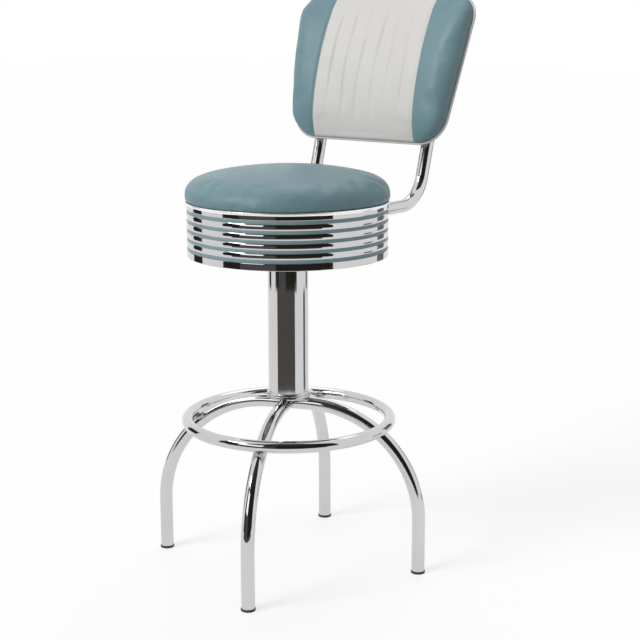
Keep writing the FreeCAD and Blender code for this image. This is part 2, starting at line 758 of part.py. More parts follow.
# Ribbed band: a flared lip, a plain zone and grooves between rounded ribs
band = turned([
    ("Levels.band_bore", "0"),
    ("Levels.band_radius", "0"),
    ("Levels.band_radius", "Sizes.band_height - Sizes.lip_height"),
    ("Levels.band_radius + Sizes.lip_flare", "Sizes.band_height - 1"),
    ("Levels.band_radius + Sizes.lip_flare", "Sizes.band_height"),
    ("Levels.band_bore", "Sizes.band_height"),
])
doc.recompute()
groove_sketch = new_sketch(band, "XZ_Plane")
groove_top = "Levels.first_groove + Sizes.groove_height"
outline(groove_sketch, [
    ("Levels.band_radius - Sizes.groove_depth", "Levels.first_groove"),
    ("Levels.band_radius - Sizes.rib_round", "Levels.first_groove"),
    ("Levels.band_radius", "Levels.first_groove - Sizes.rib_round", "Sizes.rib_round", -1),
    ("Levels.band_radius + Sizes.rib_round", "Levels.first_groove - Sizes.rib_round"),
    ("Levels.band_radius + Sizes.rib_round", groove_top + " + Sizes.rib_round"),
    ("Levels.band_radius", groove_top + " + Sizes.rib_round"),
    ("Levels.band_radius - Sizes.rib_round", groove_top, "Sizes.rib_round", -1),
    ("Levels.band_radius - Sizes.groove_depth", groove_top),
])
groove = band.newObject("PartDesign::Groove", "Groove")
groove.Profile = groove_sketch
groove.ReferenceAxis = (groove_sketch, ["V_Axis"])
groove.Angle = 360
doc.recompute()
groove_pattern = band.newObject("PartDesign::LinearPattern", "LinearPattern")
groove_pattern.Originals = [groove]
groove_pattern.Direction = (origin_plane(band, "Z_Axis"), [""])
groove_pattern.Reversed = True
groove_pattern.setExpression("Length", "Sizes.groove_pitch * (Sizes.groove_count - 1)")
groove_pattern.setExpression("Occurrences", "Sizes.groove_count")
band.Tip = groove_pattern


def tube_holes(floor):
    """The two holes that the back tubes pass through, in a ring whose lower edge is at floor."""
    radius = "Levels.back_tube_radius + Sizes.back_tube_hole_clearance"
    return [cylinder_along_y(radius, "Levels.band_radius + Sizes.lip_flare", "%d * Levels.back_tube_side" % side,
                             "0", "Levels.back_tube_height - (%s)" % floor) for side in (-1, 1)]


sub_part("seat_band", stand(cut(band, *tube_holes("Levels.band_foot")), "Levels.band_foot"))

for k in range(int(size("groove_count"))):
    floor = "Levels.band_foot + Levels.first_groove - %d * Sizes.groove_pitch" % k
    inlay = pipe_ring("Levels.band_radius - Sizes.groove_depth + Sizes.inlay_thickness",
                      "Levels.band_radius - Sizes.groove_depth", "Sizes.groove_height")
    sub_part("band_inlay_%d" % (k + 1), stand(cut(inlay, *tube_holes(floor)), floor))

# Back tubes: run under the seat board, leave the band, bend up and lean back behind the back rest
tube_straight = "(Sizes.back_tube_below_rest + Sizes.back_tube_behind_rest)"
run_length = "(Sizes.back_tube_overlap + Sizes.back_tube_run)"
BACK_PATH = [
    ("0", "0"),
    (run_length, "0"),
    (run_length + " + Levels.bend_reach", "Levels.bend_rise", "Sizes.back_tube_bend", 1),
    (run_length + " + Levels.bend_reach + %s * sin(Sizes.back_lean)" % tube_straight,
     "Levels.bend_rise + %s * cos(Sizes.back_lean)" % tube_straight),
]
BACK_SIDES = [("left", -1), ("right", 1)]
BACK_BOLT_HEIGHTS = ["Sizes.back_bolt_low", "Sizes.back_bolt_high"]
seat_to_tube = "-Sizes.back_tube_overlap"


def back_bolt_hole(radius, side, height):
    """A cylinder through the back rest's board and tube, square to its slope and in its frame."""
    length = "Levels.tube_offset + Levels.back_tube_radius"
    return cylinder_along_y(radius, length, "%d * Levels.back_tube_side" % side, "0", height)


for name, side in BACK_SIDES:
    tube = bent_tube(BACK_PATH, "YZ_Plane", "XZ_Plane", "Levels.back_tube_radius", "Sizes.back_tube_wall")
    tube_tools = []
    for along in ("-Sizes.tube_bolt_front", "Sizes.tube_bolt_rear"):
        tube_tools.append(cylinder("(Sizes.tube_bolt_thread + Sizes.bolt_clearance) / 2", "Sizes.back_tube",
                                   "-Levels.back_tube_radius", "0", "Sizes.back_tube_overlap + " + along))
    tilt = together([back_bolt_hole("(Sizes.back_bolt_thread + Sizes.bolt_clearance) / 2", 0, height)
                     for height in BACK_BOLT_HEIGHTS])
    bind(tilt, {
        "Placement.Base.y": "Sizes.back_tube_overlap + Levels.rest_reach",
        "Placement.Base.z": "Levels.rest_foot - Levels.back_tube_height",
    })
    tilt.Placement.Rotation = FreeCAD.Rotation(FreeCAD.Vector(-1, 0, 0), 30)
    tilt.setExpression("Placement.Rotation.Angle", "Sizes.back_lean")
    tube_tools.append(tilt)
    drilled = cut(tube, *tube_tools)
    sub_part("back_tube_" + name, stand(drilled, "Levels.back_tube_height", "%d * Levels.back_tube_side" % side,
                                        seat_to_tube))

plug_radius = "Levels.back_tube_radius - Sizes.back_tube_wall - Sizes.plug_clearance"


def tube_cap():
    """A domed cap with its rim at z = 0 and its plug going down into the tube."""
    return turned([
        ("0", "-Sizes.cap_plug"),
        (plug_radius, "-Sizes.cap_plug"),
        (plug_radius, "0"),
        ("Levels.back_tube_radius", "0"),
        ("Levels.back_tube_radius", "Sizes.cap_dome / 4"),
        ("0", "Sizes.cap_dome",
         "(Levels.back_tube_radius^2 + (Sizes.cap_dome * 0.75)^2) / (2 * Sizes.cap_dome * 0.75)", 1),
    ])


top_caps = []
end_plugs = []
for name, side in BACK_SIDES:
    top_cap = tube_cap()
    bind(top_cap, {
        "Placement.Base.x": "%d * Levels.back_tube_side" % side,
        "Placement.Base.y": "Levels.tube_offset",
        "Placement.Base.z": "Sizes.back_tube_behind_rest",
    })
    top_caps.append(top_cap)
    end_plug = tube_cap()
    end_plug.Placement.Rotation = FreeCAD.Rotation(FreeCAD.Vector(1, 0, 0), 90)
    end_plug.setExpression("Placement.Base.x", "%d * Levels.back_tube_side" % side)
    end_plugs.append(end_plug)
sub_part("tube_caps", lean_back(together(top_caps)))
sub_part("tube_plugs", stand(together(end_plugs), "Levels.back_tube_height", along=seat_to_tube))


# Back rest: every outline is the same rounded trapezoid, inset or drawn in about the middle of the rest
def rest_outline(depth, inset=0.0, across=1.0, along=1.0):
    height = size("rest_height")
    middle = height / 2
    half = [size("rest_bottom_width") / 2, size("rest_top_width") / 2]
    slope = math.atan2(half[1] - half[0], height)
    side_inset = inset / math.cos(slope)
    corners = [
        (-(half[0] + inset * math.tan(slope)) + side_inset, inset, size("rest_bottom_round") - inset),
        (half[0] + inset * math.tan(slope) - side_inset, inset, size("rest_bottom_round") - inset),
        (half[1] - inset * math.tan(slope) - side_inset, height - inset, size("rest_top_round") - inset),
        (-(half[1] - inset * math.tan(slope)) + side_inset, height - inset, size("rest_top_round") - inset),
    ]
    points = [FreeCAD.Vector(x * across, depth, middle + (z - middle) * along) for x, z, _ in corners]
    radii = [max(radius, 1.0) * min(across, along) for _, _, radius in corners]
    starts, middles, ends = [], [], []
    for k, corner in enumerate(points):
        before = (points[k - 1] - corner).normalize()
        after = (points[(k + 1) % 4] - corner).normalize()
        half_angle = before.getAngle(after) / 2
        reach = radii[k] / math.tan(half_angle)
        bisector = (before + after).normalize()
        centre = corner + bisector * (radii[k] / math.sin(half_angle))
        starts.append(corner + before * reach)
        middles.append(centre - bisector * radii[k])
        ends.append(corner + after * reach)
    edges = []
    for k in range(4):
        edges.append(Part.Arc(starts[k], middles[k], ends[k]).toShape())
        edges.append(Part.LineSegment(ends[k], starts[(k + 1) % 4]).toShape())
    return Part.Wire(edges)


def rest_pad(inset):
    """The front pad, inset by a thickness: its front is hollow across and bulges from bottom to top."""
    steps = 6
    wires = [rest_outline(0, inset + size("rest_seam_draw"))]
    for k in range(1, steps + 1):
        angle = math.radians(size("rest_edge_sweep") * k / steps)
        width_share = 1 - size("rest_edge_narrowing") * (1 - math.cos(angle)) ** 4
        depth = (size("rest_edge_depth") - inset) * math.sin(angle)
        wires.append(rest_outline(-depth, inset, width_share, math.cos(angle) ** 2))
    block = Part.makeLoft(wires, True, False)
    hollow = size("rest_hollow")
    bulge = size("rest_bulge")
    centre = FreeCAD.Vector(0, -size("rest_depth") - hollow, size("rest_fullest"))
    return block.common(Part.makeTorus(hollow + bulge, bulge - inset, centre, FreeCAD.Vector(0, 0, 1)))


def slab(outline_wire, thickness):
    return Part.Face(outline_wire).extrude(FreeCAD.Vector(0, thickness, 0))


def shaped(name, shape):
    """A sub-part of the back rest with a shape made in the rest's own frame."""
    feature = doc.addObject("Part::Feature", name)
    feature.Shape = shape
    return sub_part(name, lean_back(feature))


foam_shape = rest_pad(size("rest_cover"))
cover_shape = rest_pad(0).cut(foam_shape)
seam = size("centre_width") / 2
gap = size("seam_gap") / 2
reach = size("rest_top_width")


def across(low, high):
    """A block that spans the pad between two places across it."""
    block = Part.makeBox(high - low, reach, reach)
    block.translate(FreeCAD.Vector(low, -reach, -size("rest_cover")))
    return block


channel_pitch = size("centre_width") / size("channel_count")
centre_shape = cover_shape.common(across(-seam + gap, seam - gap))
for k in range(1, int(size("channel_count"))):
    sweep = size("channel_sweep")
    x = -seam + k * channel_pitch
    front = size("rest_depth") + x * x / (2 * size("rest_hollow"))
    place = FreeCAD.Vector(x, sweep - front + size("channel_depth") - size("channel_round"), size("rest_fullest"))
    channel = Part.makeTorus(sweep, size("channel_round"), place, FreeCAD.Vector(1, 0, 0))
    centre_shape = centre_shape.cut(channel)

shaped("back_foam", foam_shape)
shaped("back_cover_left", cover_shape.common(across(-reach, -seam)))
shaped("back_cover_right", cover_shape.common(across(seam, reach)))
shaped("back_cover_centre", centre_shape)

# Welt: a round piping between the front cover and the rear cover
welt_radius = size("welt_width") / 2
welt_path = rest_outline(welt_radius, welt_radius)
welt_start = welt_path.Vertexes[0].Point
welt_tangent = welt_path.Edges[0].tangentAt(welt_path.Edges[0].FirstParameter)
welt_section = Part.Wire(Part.makeCircle(welt_radius, welt_start, welt_tangent))
welt_shape = welt_path.makePipeShell([welt_section], True, False)
shaped("back_welt", welt_shape)


# Rear half of the rest: a plywood board let into a padded rear cover
def rest_tee_holes(shape, radius, start, length):
    for side in (-1, 1):
        for height in (size("back_bolt_low"), size("back_bolt_high")):
            place = FreeCAD.Vector(side * level("back_tube_side"), start, height)
            shape = shape.cut(Part.makeCylinder(radius, length, place, FreeCAD.Vector(0, 1, 0)))
    return shape


tee_bore = size("back_bolt_thread") / 2 + size("thread_clearance")
tee_radius = tee_bore + size("tee_barrel_wall")
board_depth = size("rest_board_thickness")
board_solid = slab(rest_outline(0, size("rest_board_inset")), board_depth)
board_shape = rest_tee_holes(board_solid, tee_radius, 0, board_depth)
board_shape = rest_tee_holes(board_shape, tee_radius + size("tee_flange_rim"), 0, size("tee_flange"))
shaped("back_board", board_shape)

rear_depth = board_depth + size("rear_cover_thickness")
rear_inset = size("rear_cover_inset")
rear_round = size("rear_cover_round")
rear_solid = Part.makeLoft([
    rest_outline(0, rear_inset),
    rest_outline(rear_depth - rear_round, rear_inset),
    rest_outline(rear_depth, rear_inset + rear_round),
], True, True)
rear_shape = rear_solid.cut(board_solid)
rear_shape = rest_tee_holes(rear_shape, (size("back_bolt_thread") + size("bolt_clearance")) / 2, 0, rear_depth)
shaped("back_cover_rear", rear_shape)


# Back bolts: go in from behind the tubes and end in tee nuts in the front of the board
def on_slope(make, depth):
    members = []
    for _, side in BACK_SIDES:
        for height in BACK_BOLT_HEIGHTS:
            member = make()
            member.Placement.Rotation = FreeCAD.Rotation(FreeCAD.Vector(1, 0, 0), 90)
            bind(member, {
                "Placement.Base.x": "%d * Levels.back_tube_side" % side,
                "Placement.Base.y": depth,
                "Placement.Base.z": height,
            })
            members.append(member)
    return lean_back(together(members))


tube_rear = "(Levels.tube_offset + Levels.back_tube_radius)"


def domed_bolt():
    """A bolt with a low domed head; the head's inner face is at z = 0 and the shank goes up."""
    thread = "Sizes.back_bolt_thread"
    return turned([
        ("0", "-%s * 0.55" % thread),
        (thread, "0", "(%s^2 + (%s * 0.55)^2) / (2 * %s * 0.55)" % (thread, thread, thread), 1),
        (thread + " / 2", "0"),
        (thread + " / 2", tube_rear + " - Sizes.tee_flange"),
        ("0", tube_rear + " - Sizes.tee_flange"),
    ])


sub_part("back_bolts", on_slope(domed_bolt, tube_rear))
sub_part("back_tee_nuts", on_slope(
    lambda: tee_nut("Sizes.back_bolt_thread", "(Sizes.rest_board_thickness - 2)"), "0"))

doc.recompute()

faulty = [o.Label for o in doc.Objects if "Invalid" in o.State or "Error" in o.State]
if faulty:
    raise RuntimeError("objects that failed: " + ", ".join(faulty))
for name, obj in SUB_PARTS.items():
    if obj.Shape.isNull() or not obj.Shape.isValid() or not obj.Shape.Solids:
        raise RuntimeError("no valid solid: " + name)
for name, obj in SUB_PARTS.items():
    obj.Shape.exportStep("parts/" + name + ".step")
print(len(SUB_PARTS), "sub-parts written")
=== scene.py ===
import json
import math

import bmesh
import bpy
import numpy as np
from mathutils import Matrix, Vector, noise


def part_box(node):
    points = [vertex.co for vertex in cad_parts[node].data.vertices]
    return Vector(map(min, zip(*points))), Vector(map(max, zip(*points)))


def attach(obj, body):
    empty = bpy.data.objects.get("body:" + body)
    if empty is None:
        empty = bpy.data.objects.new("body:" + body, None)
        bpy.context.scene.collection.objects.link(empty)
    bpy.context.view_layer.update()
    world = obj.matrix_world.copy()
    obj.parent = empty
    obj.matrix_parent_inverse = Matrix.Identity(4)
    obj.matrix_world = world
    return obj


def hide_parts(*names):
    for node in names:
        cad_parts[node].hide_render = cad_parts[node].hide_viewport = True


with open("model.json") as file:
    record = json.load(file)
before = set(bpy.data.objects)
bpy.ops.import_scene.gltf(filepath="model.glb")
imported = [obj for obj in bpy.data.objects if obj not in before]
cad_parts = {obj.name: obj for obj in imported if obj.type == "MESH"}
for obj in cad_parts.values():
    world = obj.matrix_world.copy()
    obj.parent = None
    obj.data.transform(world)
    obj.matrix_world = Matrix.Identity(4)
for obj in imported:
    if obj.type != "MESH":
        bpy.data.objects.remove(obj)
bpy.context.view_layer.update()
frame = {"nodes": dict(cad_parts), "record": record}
scene = bpy.context.scene

MM = 0.001


def middle(node):
    low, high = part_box(node)
    return (low + high) / 2


# The swivel axis and the main levels, read from the frame
AXIS = Vector((0, middle("spindle").y, 0))
COLUMN_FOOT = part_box("column_tube")[0].z
COLUMN_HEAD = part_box("column_tube")[1].z
BOARD_FOOT, BOARD_TOP = (corner.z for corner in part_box("seat_board"))
BAND_FOOT, BAND_TOP = (corner.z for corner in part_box("seat_band"))

# Base, in metres
FOOT_CIRCLE = 255 * MM
LEG_RADIUS = 12.5 * MM
LEG_BEND = 215 * MM
LEG_UPRIGHT = 98 * MM
GLIDE_RADIUS = 13.5 * MM
GLIDE_FLANGE = 5 * MM
RING_CIRCLE = 192.5 * MM
RING_RADIUS = 11.1 * MM
HUB_RADIUS = 42 * MM
COLUMN_RADIUS = 38.1 * MM
COLUMN_WALL = 2.5 * MM
COLLAR_RIM = 2.9 * MM
COLLAR_STRAIGHT = 2.5 * MM

# Ribbed band
BAND_BORE = 183 * MM
BAND_RADIUS = 187.5 * MM
LIP_FLARE = 4 * MM
LIP_HEIGHT = 6 * MM
PLAIN_ZONE = 8 * MM
GROOVE_HEIGHT = 6.6 * MM
GROOVE_DEPTH = 2.6 * MM
GROOVE_PITCH = 17.1 * MM
GROOVE_COUNT = 5
RIB_CROWN = 1.1 * MM
INLAY_THICKNESS = 1.4 * MM

# Cushion
CUSHION_RADIUS = 196 * MM
CUSHION_FOOT = BAND_TOP + 0.3 * MM
CUSHION_UNDERHANG = 9.7 * MM
CUSHION_SHOULDER = 34 * MM
CUSHION_CROWN = 53 * MM
BOARD_RADIUS = 181 * MM
COVER_THICKNESS = 1.5 * MM

# Back tubes
TUBE_RADIUS = 12.5 * MM
TUBE_SIDE = 128.8 * MM
TUBE_HEIGHT = middle("tube_plugs").z
TUBE_START = -100 * MM
TUBE_RUN = 186 * MM
TUBE_BEND = 70 * MM
TUBE_BELOW_REST = 55.5 * MM
TUBE_BEHIND_REST = 205 * MM
BACK_LEAN = math.radians(16)

# Back rest, in its own frame: X across, Y out of its rear face, Z up its slope
REST_HEIGHT = 294 * MM
REST_BOTTOM_HALF = 179 * MM
REST_TOP_HALF = 211 * MM
REST_BOTTOM_ROUND = 60 * MM
REST_TOP_ROUND = 46 * MM
REST_REAR = 16 * MM
REST_DEPTH = 29 * MM
REST_FULLEST = 130 * MM
REST_HOLLOW = 1400 * MM
REST_BULGE = 520 * MM
SEAM_SIDE = 119 * MM
CHANNEL_COUNT = 7
SEAM_WIDTH = 7 * MM
SEAM_DEPTH = 2.2 * MM
CHANNEL_DEPTH = 2.3 * MM
WELT_RADIUS = 2.5 * MM
PIPING_INSET = 3.4 * MM
REST_REACH = (TUBE_RUN + TUBE_BEND * math.cos(BACK_LEAN) + TUBE_BELOW_REST * math.sin(BACK_LEAN)
              - (REST_REAR + TUBE_RADIUS) * math.cos(BACK_LEAN))
REST_FOOT = (TUBE_HEIGHT + TUBE_BEND * (1 - math.sin(BACK_LEAN)) + TUBE_BELOW_REST * math.cos(BACK_LEAN)
             + (REST_REAR + TUBE_RADIUS) * math.sin(BACK_LEAN))
REST_PLACE = Matrix.Translation(AXIS + Vector((0, REST_REACH, REST_FOOT)))
REST_FRAME = REST_PLACE @ Matrix.Rotation(-BACK_LEAN, 4, "X")


# Shapes
def piece(name, mesh, material):
    obj = bpy.data.objects.new(name, mesh)
    scene.collection.objects.link(obj)
    mesh.materials.clear()
    mesh.materials.append(material)
    return obj


def shade(mesh, sharp_angle=35):
    mesh.shade_smooth()
    mesh.set_sharp_from_angle(angle=math.radians(sharp_angle))


def arc(x, y, radius, start, end, count):
    """Points on an arc about (x, y) from one angle to another, in degrees, both ends included."""
    points = []
    for k in range(count + 1):
        angle = math.radians(start + (end - start) * k / count)
        points.append((x + radius * math.cos(angle), y + radius * math.sin(angle)))
    return points


def lathe(name, profile, material, steps=160, closed=True, sharp_angle=35):
    """Turns a profile of (radius, height) about the swivel axis."""
    form = bmesh.new()
    rings = []
    for radius, height in profile:
        count = 1 if radius < 1e-6 else steps
        rings.append([form.verts.new((AXIS.x + radius * math.sin(2 * math.pi * k / steps),
                                      AXIS.y + radius * math.cos(2 * math.pi * k / steps), height))
                      for k in range(count)])
    pairs = list(zip(rings, rings[1:]))
    if closed:
        pairs.append((rings[-1], rings[0]))
    for lower, upper in pairs:
        for k in range(steps):
            corners = [lower[k % len(lower)], lower[(k + 1) % len(lower)],
                       upper[(k + 1) % len(upper)], upper[k % len(upper)]]
            corners = [c for n, c in enumerate(corners) if c not in corners[:n]]
            if len(corners) > 2:
                form.faces.new(corners)
    bmesh.ops.recalc_face_normals(form, faces=form.faces)
    mesh = bpy.data.meshes.new(name)
    form.to_mesh(mesh)
    form.free()
    shade(mesh, sharp_angle)
    return piece(name, mesh, material)


def polyline(points, closed=False):
    mesh = bpy.data.meshes.new("path")
    edges = [(k, k + 1) for k in range(len(points) - 1)]
    if closed:
        edges.append((len(points) - 1, 0))
    mesh.from_pydata(points, edges, [])
    return mesh


def settled(obj):
    """The mesh of obj with its modifiers applied and removed."""
    bpy.context.view_layer.update()
    mesh = bpy.data.meshes.new_from_object(obj.evaluated_get(bpy.context.evaluated_depsgraph_get()))
    obj.modifiers.clear()
    obj.data = mesh
    return obj


# Node trees that grow a piece along a path
def growing_tree(name, inputs):
    tree = bpy.data.node_groups.new(name, "GeometryNodeTree")
    tree.interface.new_socket("Path", in_out="INPUT", socket_type="NodeSocketGeometry")
    for label, kind in inputs:
        tree.interface.new_socket(label, in_out="INPUT", socket_type="NodeSocket" + kind)
    tree.interface.new_socket("Piece", in_out="OUTPUT", socket_type="NodeSocketGeometry")
    source = tree.nodes.new("NodeGroupInput")
    curve = tree.nodes.new("GeometryNodeMeshToCurve")
    tree.links.new(source.outputs["Path"], curve.inputs["Mesh"])
    return tree, source, curve


def finish_tree(tree, source, geometry):
    realize = tree.nodes.new("GeometryNodeRealizeInstances")
    smooth = tree.nodes.new("GeometryNodeSetShadeSmooth")
    finish = tree.nodes.new("GeometryNodeSetMaterial")
    result = tree.nodes.new("NodeGroupOutput")
    tree.links.new(geometry, realize.inputs["Geometry"])
    tree.links.new(realize.outputs["Geometry"], smooth.inputs["Geometry"])
    tree.links.new(smooth.outputs["Geometry"], finish.inputs["Geometry"])
    tree.links.new(source.outputs["Material"], finish.inputs["Material"])
    tree.links.new(finish.outputs["Geometry"], result.inputs["Piece"])
    return tree


def tube_tree():
    """A round tube of a given radius along the path."""
    sizes = [("Radius", "Float"), ("Sides", "Int"), ("Material", "Material")]
    tree, source, curve = growing_tree("tube_along_path", sizes)
    section = tree.nodes.new("GeometryNodeCurvePrimitiveCircle")
    tube = tree.nodes.new("GeometryNodeCurveToMesh")
    tree.links.new(source.outputs["Radius"], section.inputs["Radius"])
    tree.links.new(source.outputs["Sides"], section.inputs["Resolution"])
    tree.links.new(curve.outputs["Curve"], tube.inputs["Curve"])
    tree.links.new(section.outputs["Curve"], tube.inputs["Profile Curve"])
    return finish_tree(tree, source, tube.outputs["Mesh"])


def weld_tree():
    """A row of overlapping drops of uneven size along the path, as a weld leaves them."""
    sizes = [("Drop", "Float"), ("Spacing", "Float"), ("Seed", "Int"), ("Material", "Material")]
    tree, source, curve = growing_tree("weld_bead", sizes)
    spread = tree.nodes.new("GeometryNodeResampleCurve")
    spread.mode = "LENGTH"
    drop = tree.nodes.new("GeometryNodeMeshIcoSphere")
    drop.inputs["Subdivisions"].default_value = 3
    size = tree.nodes.new("FunctionNodeRandomValue")
    size.data_type = "FLOAT_VECTOR"
    size.inputs["Min"].default_value = (0.8, 0.8, 0.7)
    size.inputs["Max"].default_value = (1.25, 1.25, 1.1)
    place = tree.nodes.new("GeometryNodeInstanceOnPoints")
    tree.links.new(curve.outputs["Curve"], spread.inputs["Curve"])
    tree.links.new(source.outputs["Spacing"], spread.inputs["Length"])
    tree.links.new(source.outputs["Drop"], drop.inputs["Radius"])
    tree.links.new(source.outputs["Seed"], size.inputs["Seed"])
    tree.links.new(spread.outputs["Curve"], place.inputs["Points"])
    tree.links.new(drop.outputs["Mesh"], place.inputs["Instance"])
    tree.links.new(size.outputs["Value"], place.inputs["Scale"])
    return finish_tree(tree, source, place.outputs["Instances"])


TUBE_TREE = tube_tree()
WELD_TREE = weld_tree()


def grown(name, tree, path, material, **inputs):
    """Grows a piece along a path with a node tree and leaves it as a plain mesh."""
    obj = piece(name, path, material)
    growth = obj.modifiers.new("growth", "NODES")
    growth.node_group = tree
    values = dict(inputs, Material=material)
    for item in tree.interface.items_tree:
        if item.in_out == "INPUT" and item.name in values:
            growth[item.identifier] = values[item.name]
    settled(obj)
    obj.data.materials.clear()
    obj.data.materials.append(material)
    return obj


# Finishes
def finish(name, roughness, metallic=0.0):
    material = bpy.data.materials.new(name)
    material.use_nodes = True
    shader = material.node_tree.nodes["Principled BSDF"]
    shader.inputs["Roughness"].default_value = roughness
    shader.inputs["Metallic"].default_value = metallic
    return material, shader


def add(material, kind, links=(), **values):
    """Adds a node; values go to its inputs or settings, links join its inputs to other nodes' outputs."""
    made = material.node_tree.nodes.new(kind)
    for key, value in values.items():
        label = key.replace("_", " ").title()
        if label in made.inputs:
            made.inputs[label].default_value = value
        else:
            setattr(made, key, value)
    for label, output in links:
        material.node_tree.links.new(output, made.inputs[label])
    return made


def join(material, output, socket):
    material.node_tree.links.new(output, socket)


def place_of(material, stretch=(1, 1, 1)):
    coordinates = add(material, "ShaderNodeTexCoord")
    mapping = add(material, "ShaderNodeMapping", [("Vector", coordinates.outputs["Object"])], scale=stretch)
    return mapping.outputs[0]


def grain(material, place, scale, detail=3.0, roughness=0.5):
    return add(material, "ShaderNodeTexNoise", [("Vector", place)],
               scale=scale, detail=detail, roughness=roughness).outputs["Fac"]


def ranged(material, value, low, high, start=0.3, end=0.7):
    made = add(material, "ShaderNodeMapRange", [("Value", value)],
               from_min=start, from_max=end, to_min=low, to_max=high)
    return made.outputs["Result"]


def blended(material, value, first, second):
    ramp = add(material, "ShaderNodeValToRGB", [("Fac", value)])
    ramp.color_ramp.elements[0].position = 0.3
    ramp.color_ramp.elements[0].color = linear(first)
    ramp.color_ramp.elements[1].position = 0.7
    ramp.color_ramp.elements[1].color = linear(second)
    return ramp.outputs["Color"]


def linear(colour):
    """A colour of three sRGB values from 0 to 255, as linear light."""
    shares = [c / 255 for c in colour]
    return tuple(s / 12.92 if s <= 0.04045 else ((s + 0.055) / 1.055) ** 2.4 for s in shares) + (1.0,)


def relief(material, shader, height, distance, strength=1.0):
    bump = add(material, "ShaderNodeBump", [("Height", height)], strength=strength, distance=distance)
    join(material, bump.outputs["Normal"], shader.inputs["Normal"])


def chrome_plate(name="chrome_plate", first=(200, 200, 201), second=(208, 208, 209), low=0.03, high=0.07):
    """Bright plate: even colour, faint polishing haze and the slight waves of the metal below."""
    material, shader = finish(name, low, metallic=1.0)
    place = place_of(material)
    join(material, blended(material, grain(material, place, 9), first, second), shader.inputs["Base Color"])
    haze = grain(material, place, 35, detail=6)
    join(material, ranged(material, haze, low, high), shader.inputs["Roughness"])
    relief(material, shader, grain(material, place, 22, detail=1), 0.12 * MM)
    return material


def weld_metal():
    material, shader = finish("weld_metal", 0.2, metallic=1.0)
    place = place_of(material)
    tone = blended(material, grain(material, place, 160), (160, 148, 122), (204, 202, 208))
    join(material, tone, shader.inputs["Base Color"])
    join(material, ranged(material, grain(material, place, 300), 0.12, 0.32), shader.inputs["Roughness"])
    relief(material, shader, grain(material, place, 700), 0.25 * MM)
    return material


def plated_steel():
    material, shader = finish("zinc_plate", 0.35, metallic=1.0)
    place = place_of(material)
    tone = blended(material, grain(material, place, 45, detail=5), (168, 170, 172), (196, 198, 198))
    join(material, tone, shader.inputs["Base Color"])
    brushed = grain(material, place_of(material, (1, 30, 1)), 60, detail=4)
    join(material, ranged(material, brushed, 0.28, 0.42), shader.inputs["Roughness"])
    relief(material, shader, brushed, 0.05 * MM)
    return material


def oiled_bronze():
    material, shader = finish("oiled_bronze", 0.4, metallic=1.0)
    place = place_of(material)
    tone = blended(material, grain(material, place, 200), (178, 138, 84), (206, 168, 112))
    join(material, tone, shader.inputs["Base Color"])
    relief(material, shader, grain(material, place, 900), 0.1 * MM)
    return material


def moulded_nylon():
    material, shader = finish("moulded_nylon", 0.5)
    place = place_of(material)
    tone = blended(material, grain(material, place, 60), (38, 38, 40), (52, 52, 54))
    join(material, tone, shader.inputs["Base Color"])
    join(material, ranged(material, grain(material, place, 120), 0.42, 0.58), shader.inputs["Roughness"])
    relief(material, shader, grain(material, place, 1400), 0.06 * MM)
    return material


def birch_plywood():
    material, shader = finish("birch_plywood", 0.65)
    rings = grain(material, place_of(material, (2, 26, 2)), 7, detail=5)
    plies = add(material, "ShaderNodeTexWave", [("Vector", place_of(material))], bands_direction="Z",
                scale=120, distortion=1.5)
    mixed = add(material, "ShaderNodeMath", [(0, rings), (1, plies.outputs["Fac"])],
                operation="MULTIPLY_ADD")
    mixed.inputs[2].default_value = 0.15
    tone = blended(material, mixed.outputs[0], (176, 140, 98), (222, 194, 152))
    join(material, tone, shader.inputs["Base Color"])
    relief(material, shader, rings, 0.2 * MM)
    return material


def cut_foam():
    material, shader = finish("cut_foam", 0.9)
    cells = add(material, "ShaderNodeTexVoronoi", [("Vector", place_of(material))], scale=700)
    tone = blended(material, cells.outputs["Distance"], (226, 216, 178), (240, 233, 204))
    join(material, tone, shader.inputs["Base Color"])
    relief(material, shader, cells.outputs["Distance"], 0.4 * MM)
    return material


def vinyl(name, dark, light, roughness, sheen=0.0):
    """Supported vinyl: soft shifts of tone, an even gloss and a fine pressed grain."""
    material, shader = finish(name, roughness)
    shader.inputs["Specular IOR Level"].default_value = 0.35
    shader.inputs["Sheen Weight"].default_value = sheen
    place = place_of(material)
    tone = blended(material, grain(material, place, 7, detail=4), dark, light)
    join(material, tone, shader.inputs["Base Color"])
    gloss = grain(material, place, 30, detail=5)
    join(material, ranged(material, gloss, roughness - 0.05, roughness + 0.06), shader.inputs["Roughness"])
    cells = add(material, "ShaderNodeTexVoronoi", [("Vector", place)], feature="DISTANCE_TO_EDGE", scale=850)
    fine = grain(material, place, 420, detail=4)
    pressed = add(material, "ShaderNodeMath", [(0, cells.outputs["Distance"]), (1, fine)], operation="ADD")
    relief(material, shader, pressed.outputs[0], 0.07 * MM, 0.55)
    return material


def groove_strip():
    material, shader = finish("groove_strip", 0.38)
    place = place_of(material)
    tone = blended(material, grain(material, place, 14, detail=4), (130, 157, 162), (138, 164, 169))
    join(material, tone, shader.inputs["Base Color"])
    join(material, ranged(material, grain(material, place, 80), 0.32, 0.46), shader.inputs["Roughness"])
    relief(material, shader, grain(material, place, 500), 0.05 * MM)
    return material


CHROME = chrome_plate()
# The lip's plate is near-white and hazier than the plate around it: a painted highlight that makes the lip
# read as a bright line.
LIP_HIGHLIGHT_PLATE = chrome_plate("lip_painted_highlight", (251, 252, 248), (254, 254, 252), 0.16, 0.24)
WELD = weld_metal()
STEEL = plated_steel()
BRONZE = oiled_bronze()
NYLON = moulded_nylon()
PLYWOOD = birch_plywood()
FOAM = cut_foam()
TEAL = vinyl("teal_vinyl", (114, 146, 154), (120, 152, 160), 0.42, 0.05)
WHITE = vinyl("white_vinyl", (221, 219, 215), (227, 225, 221), 0.48)
STRIP = groove_strip()

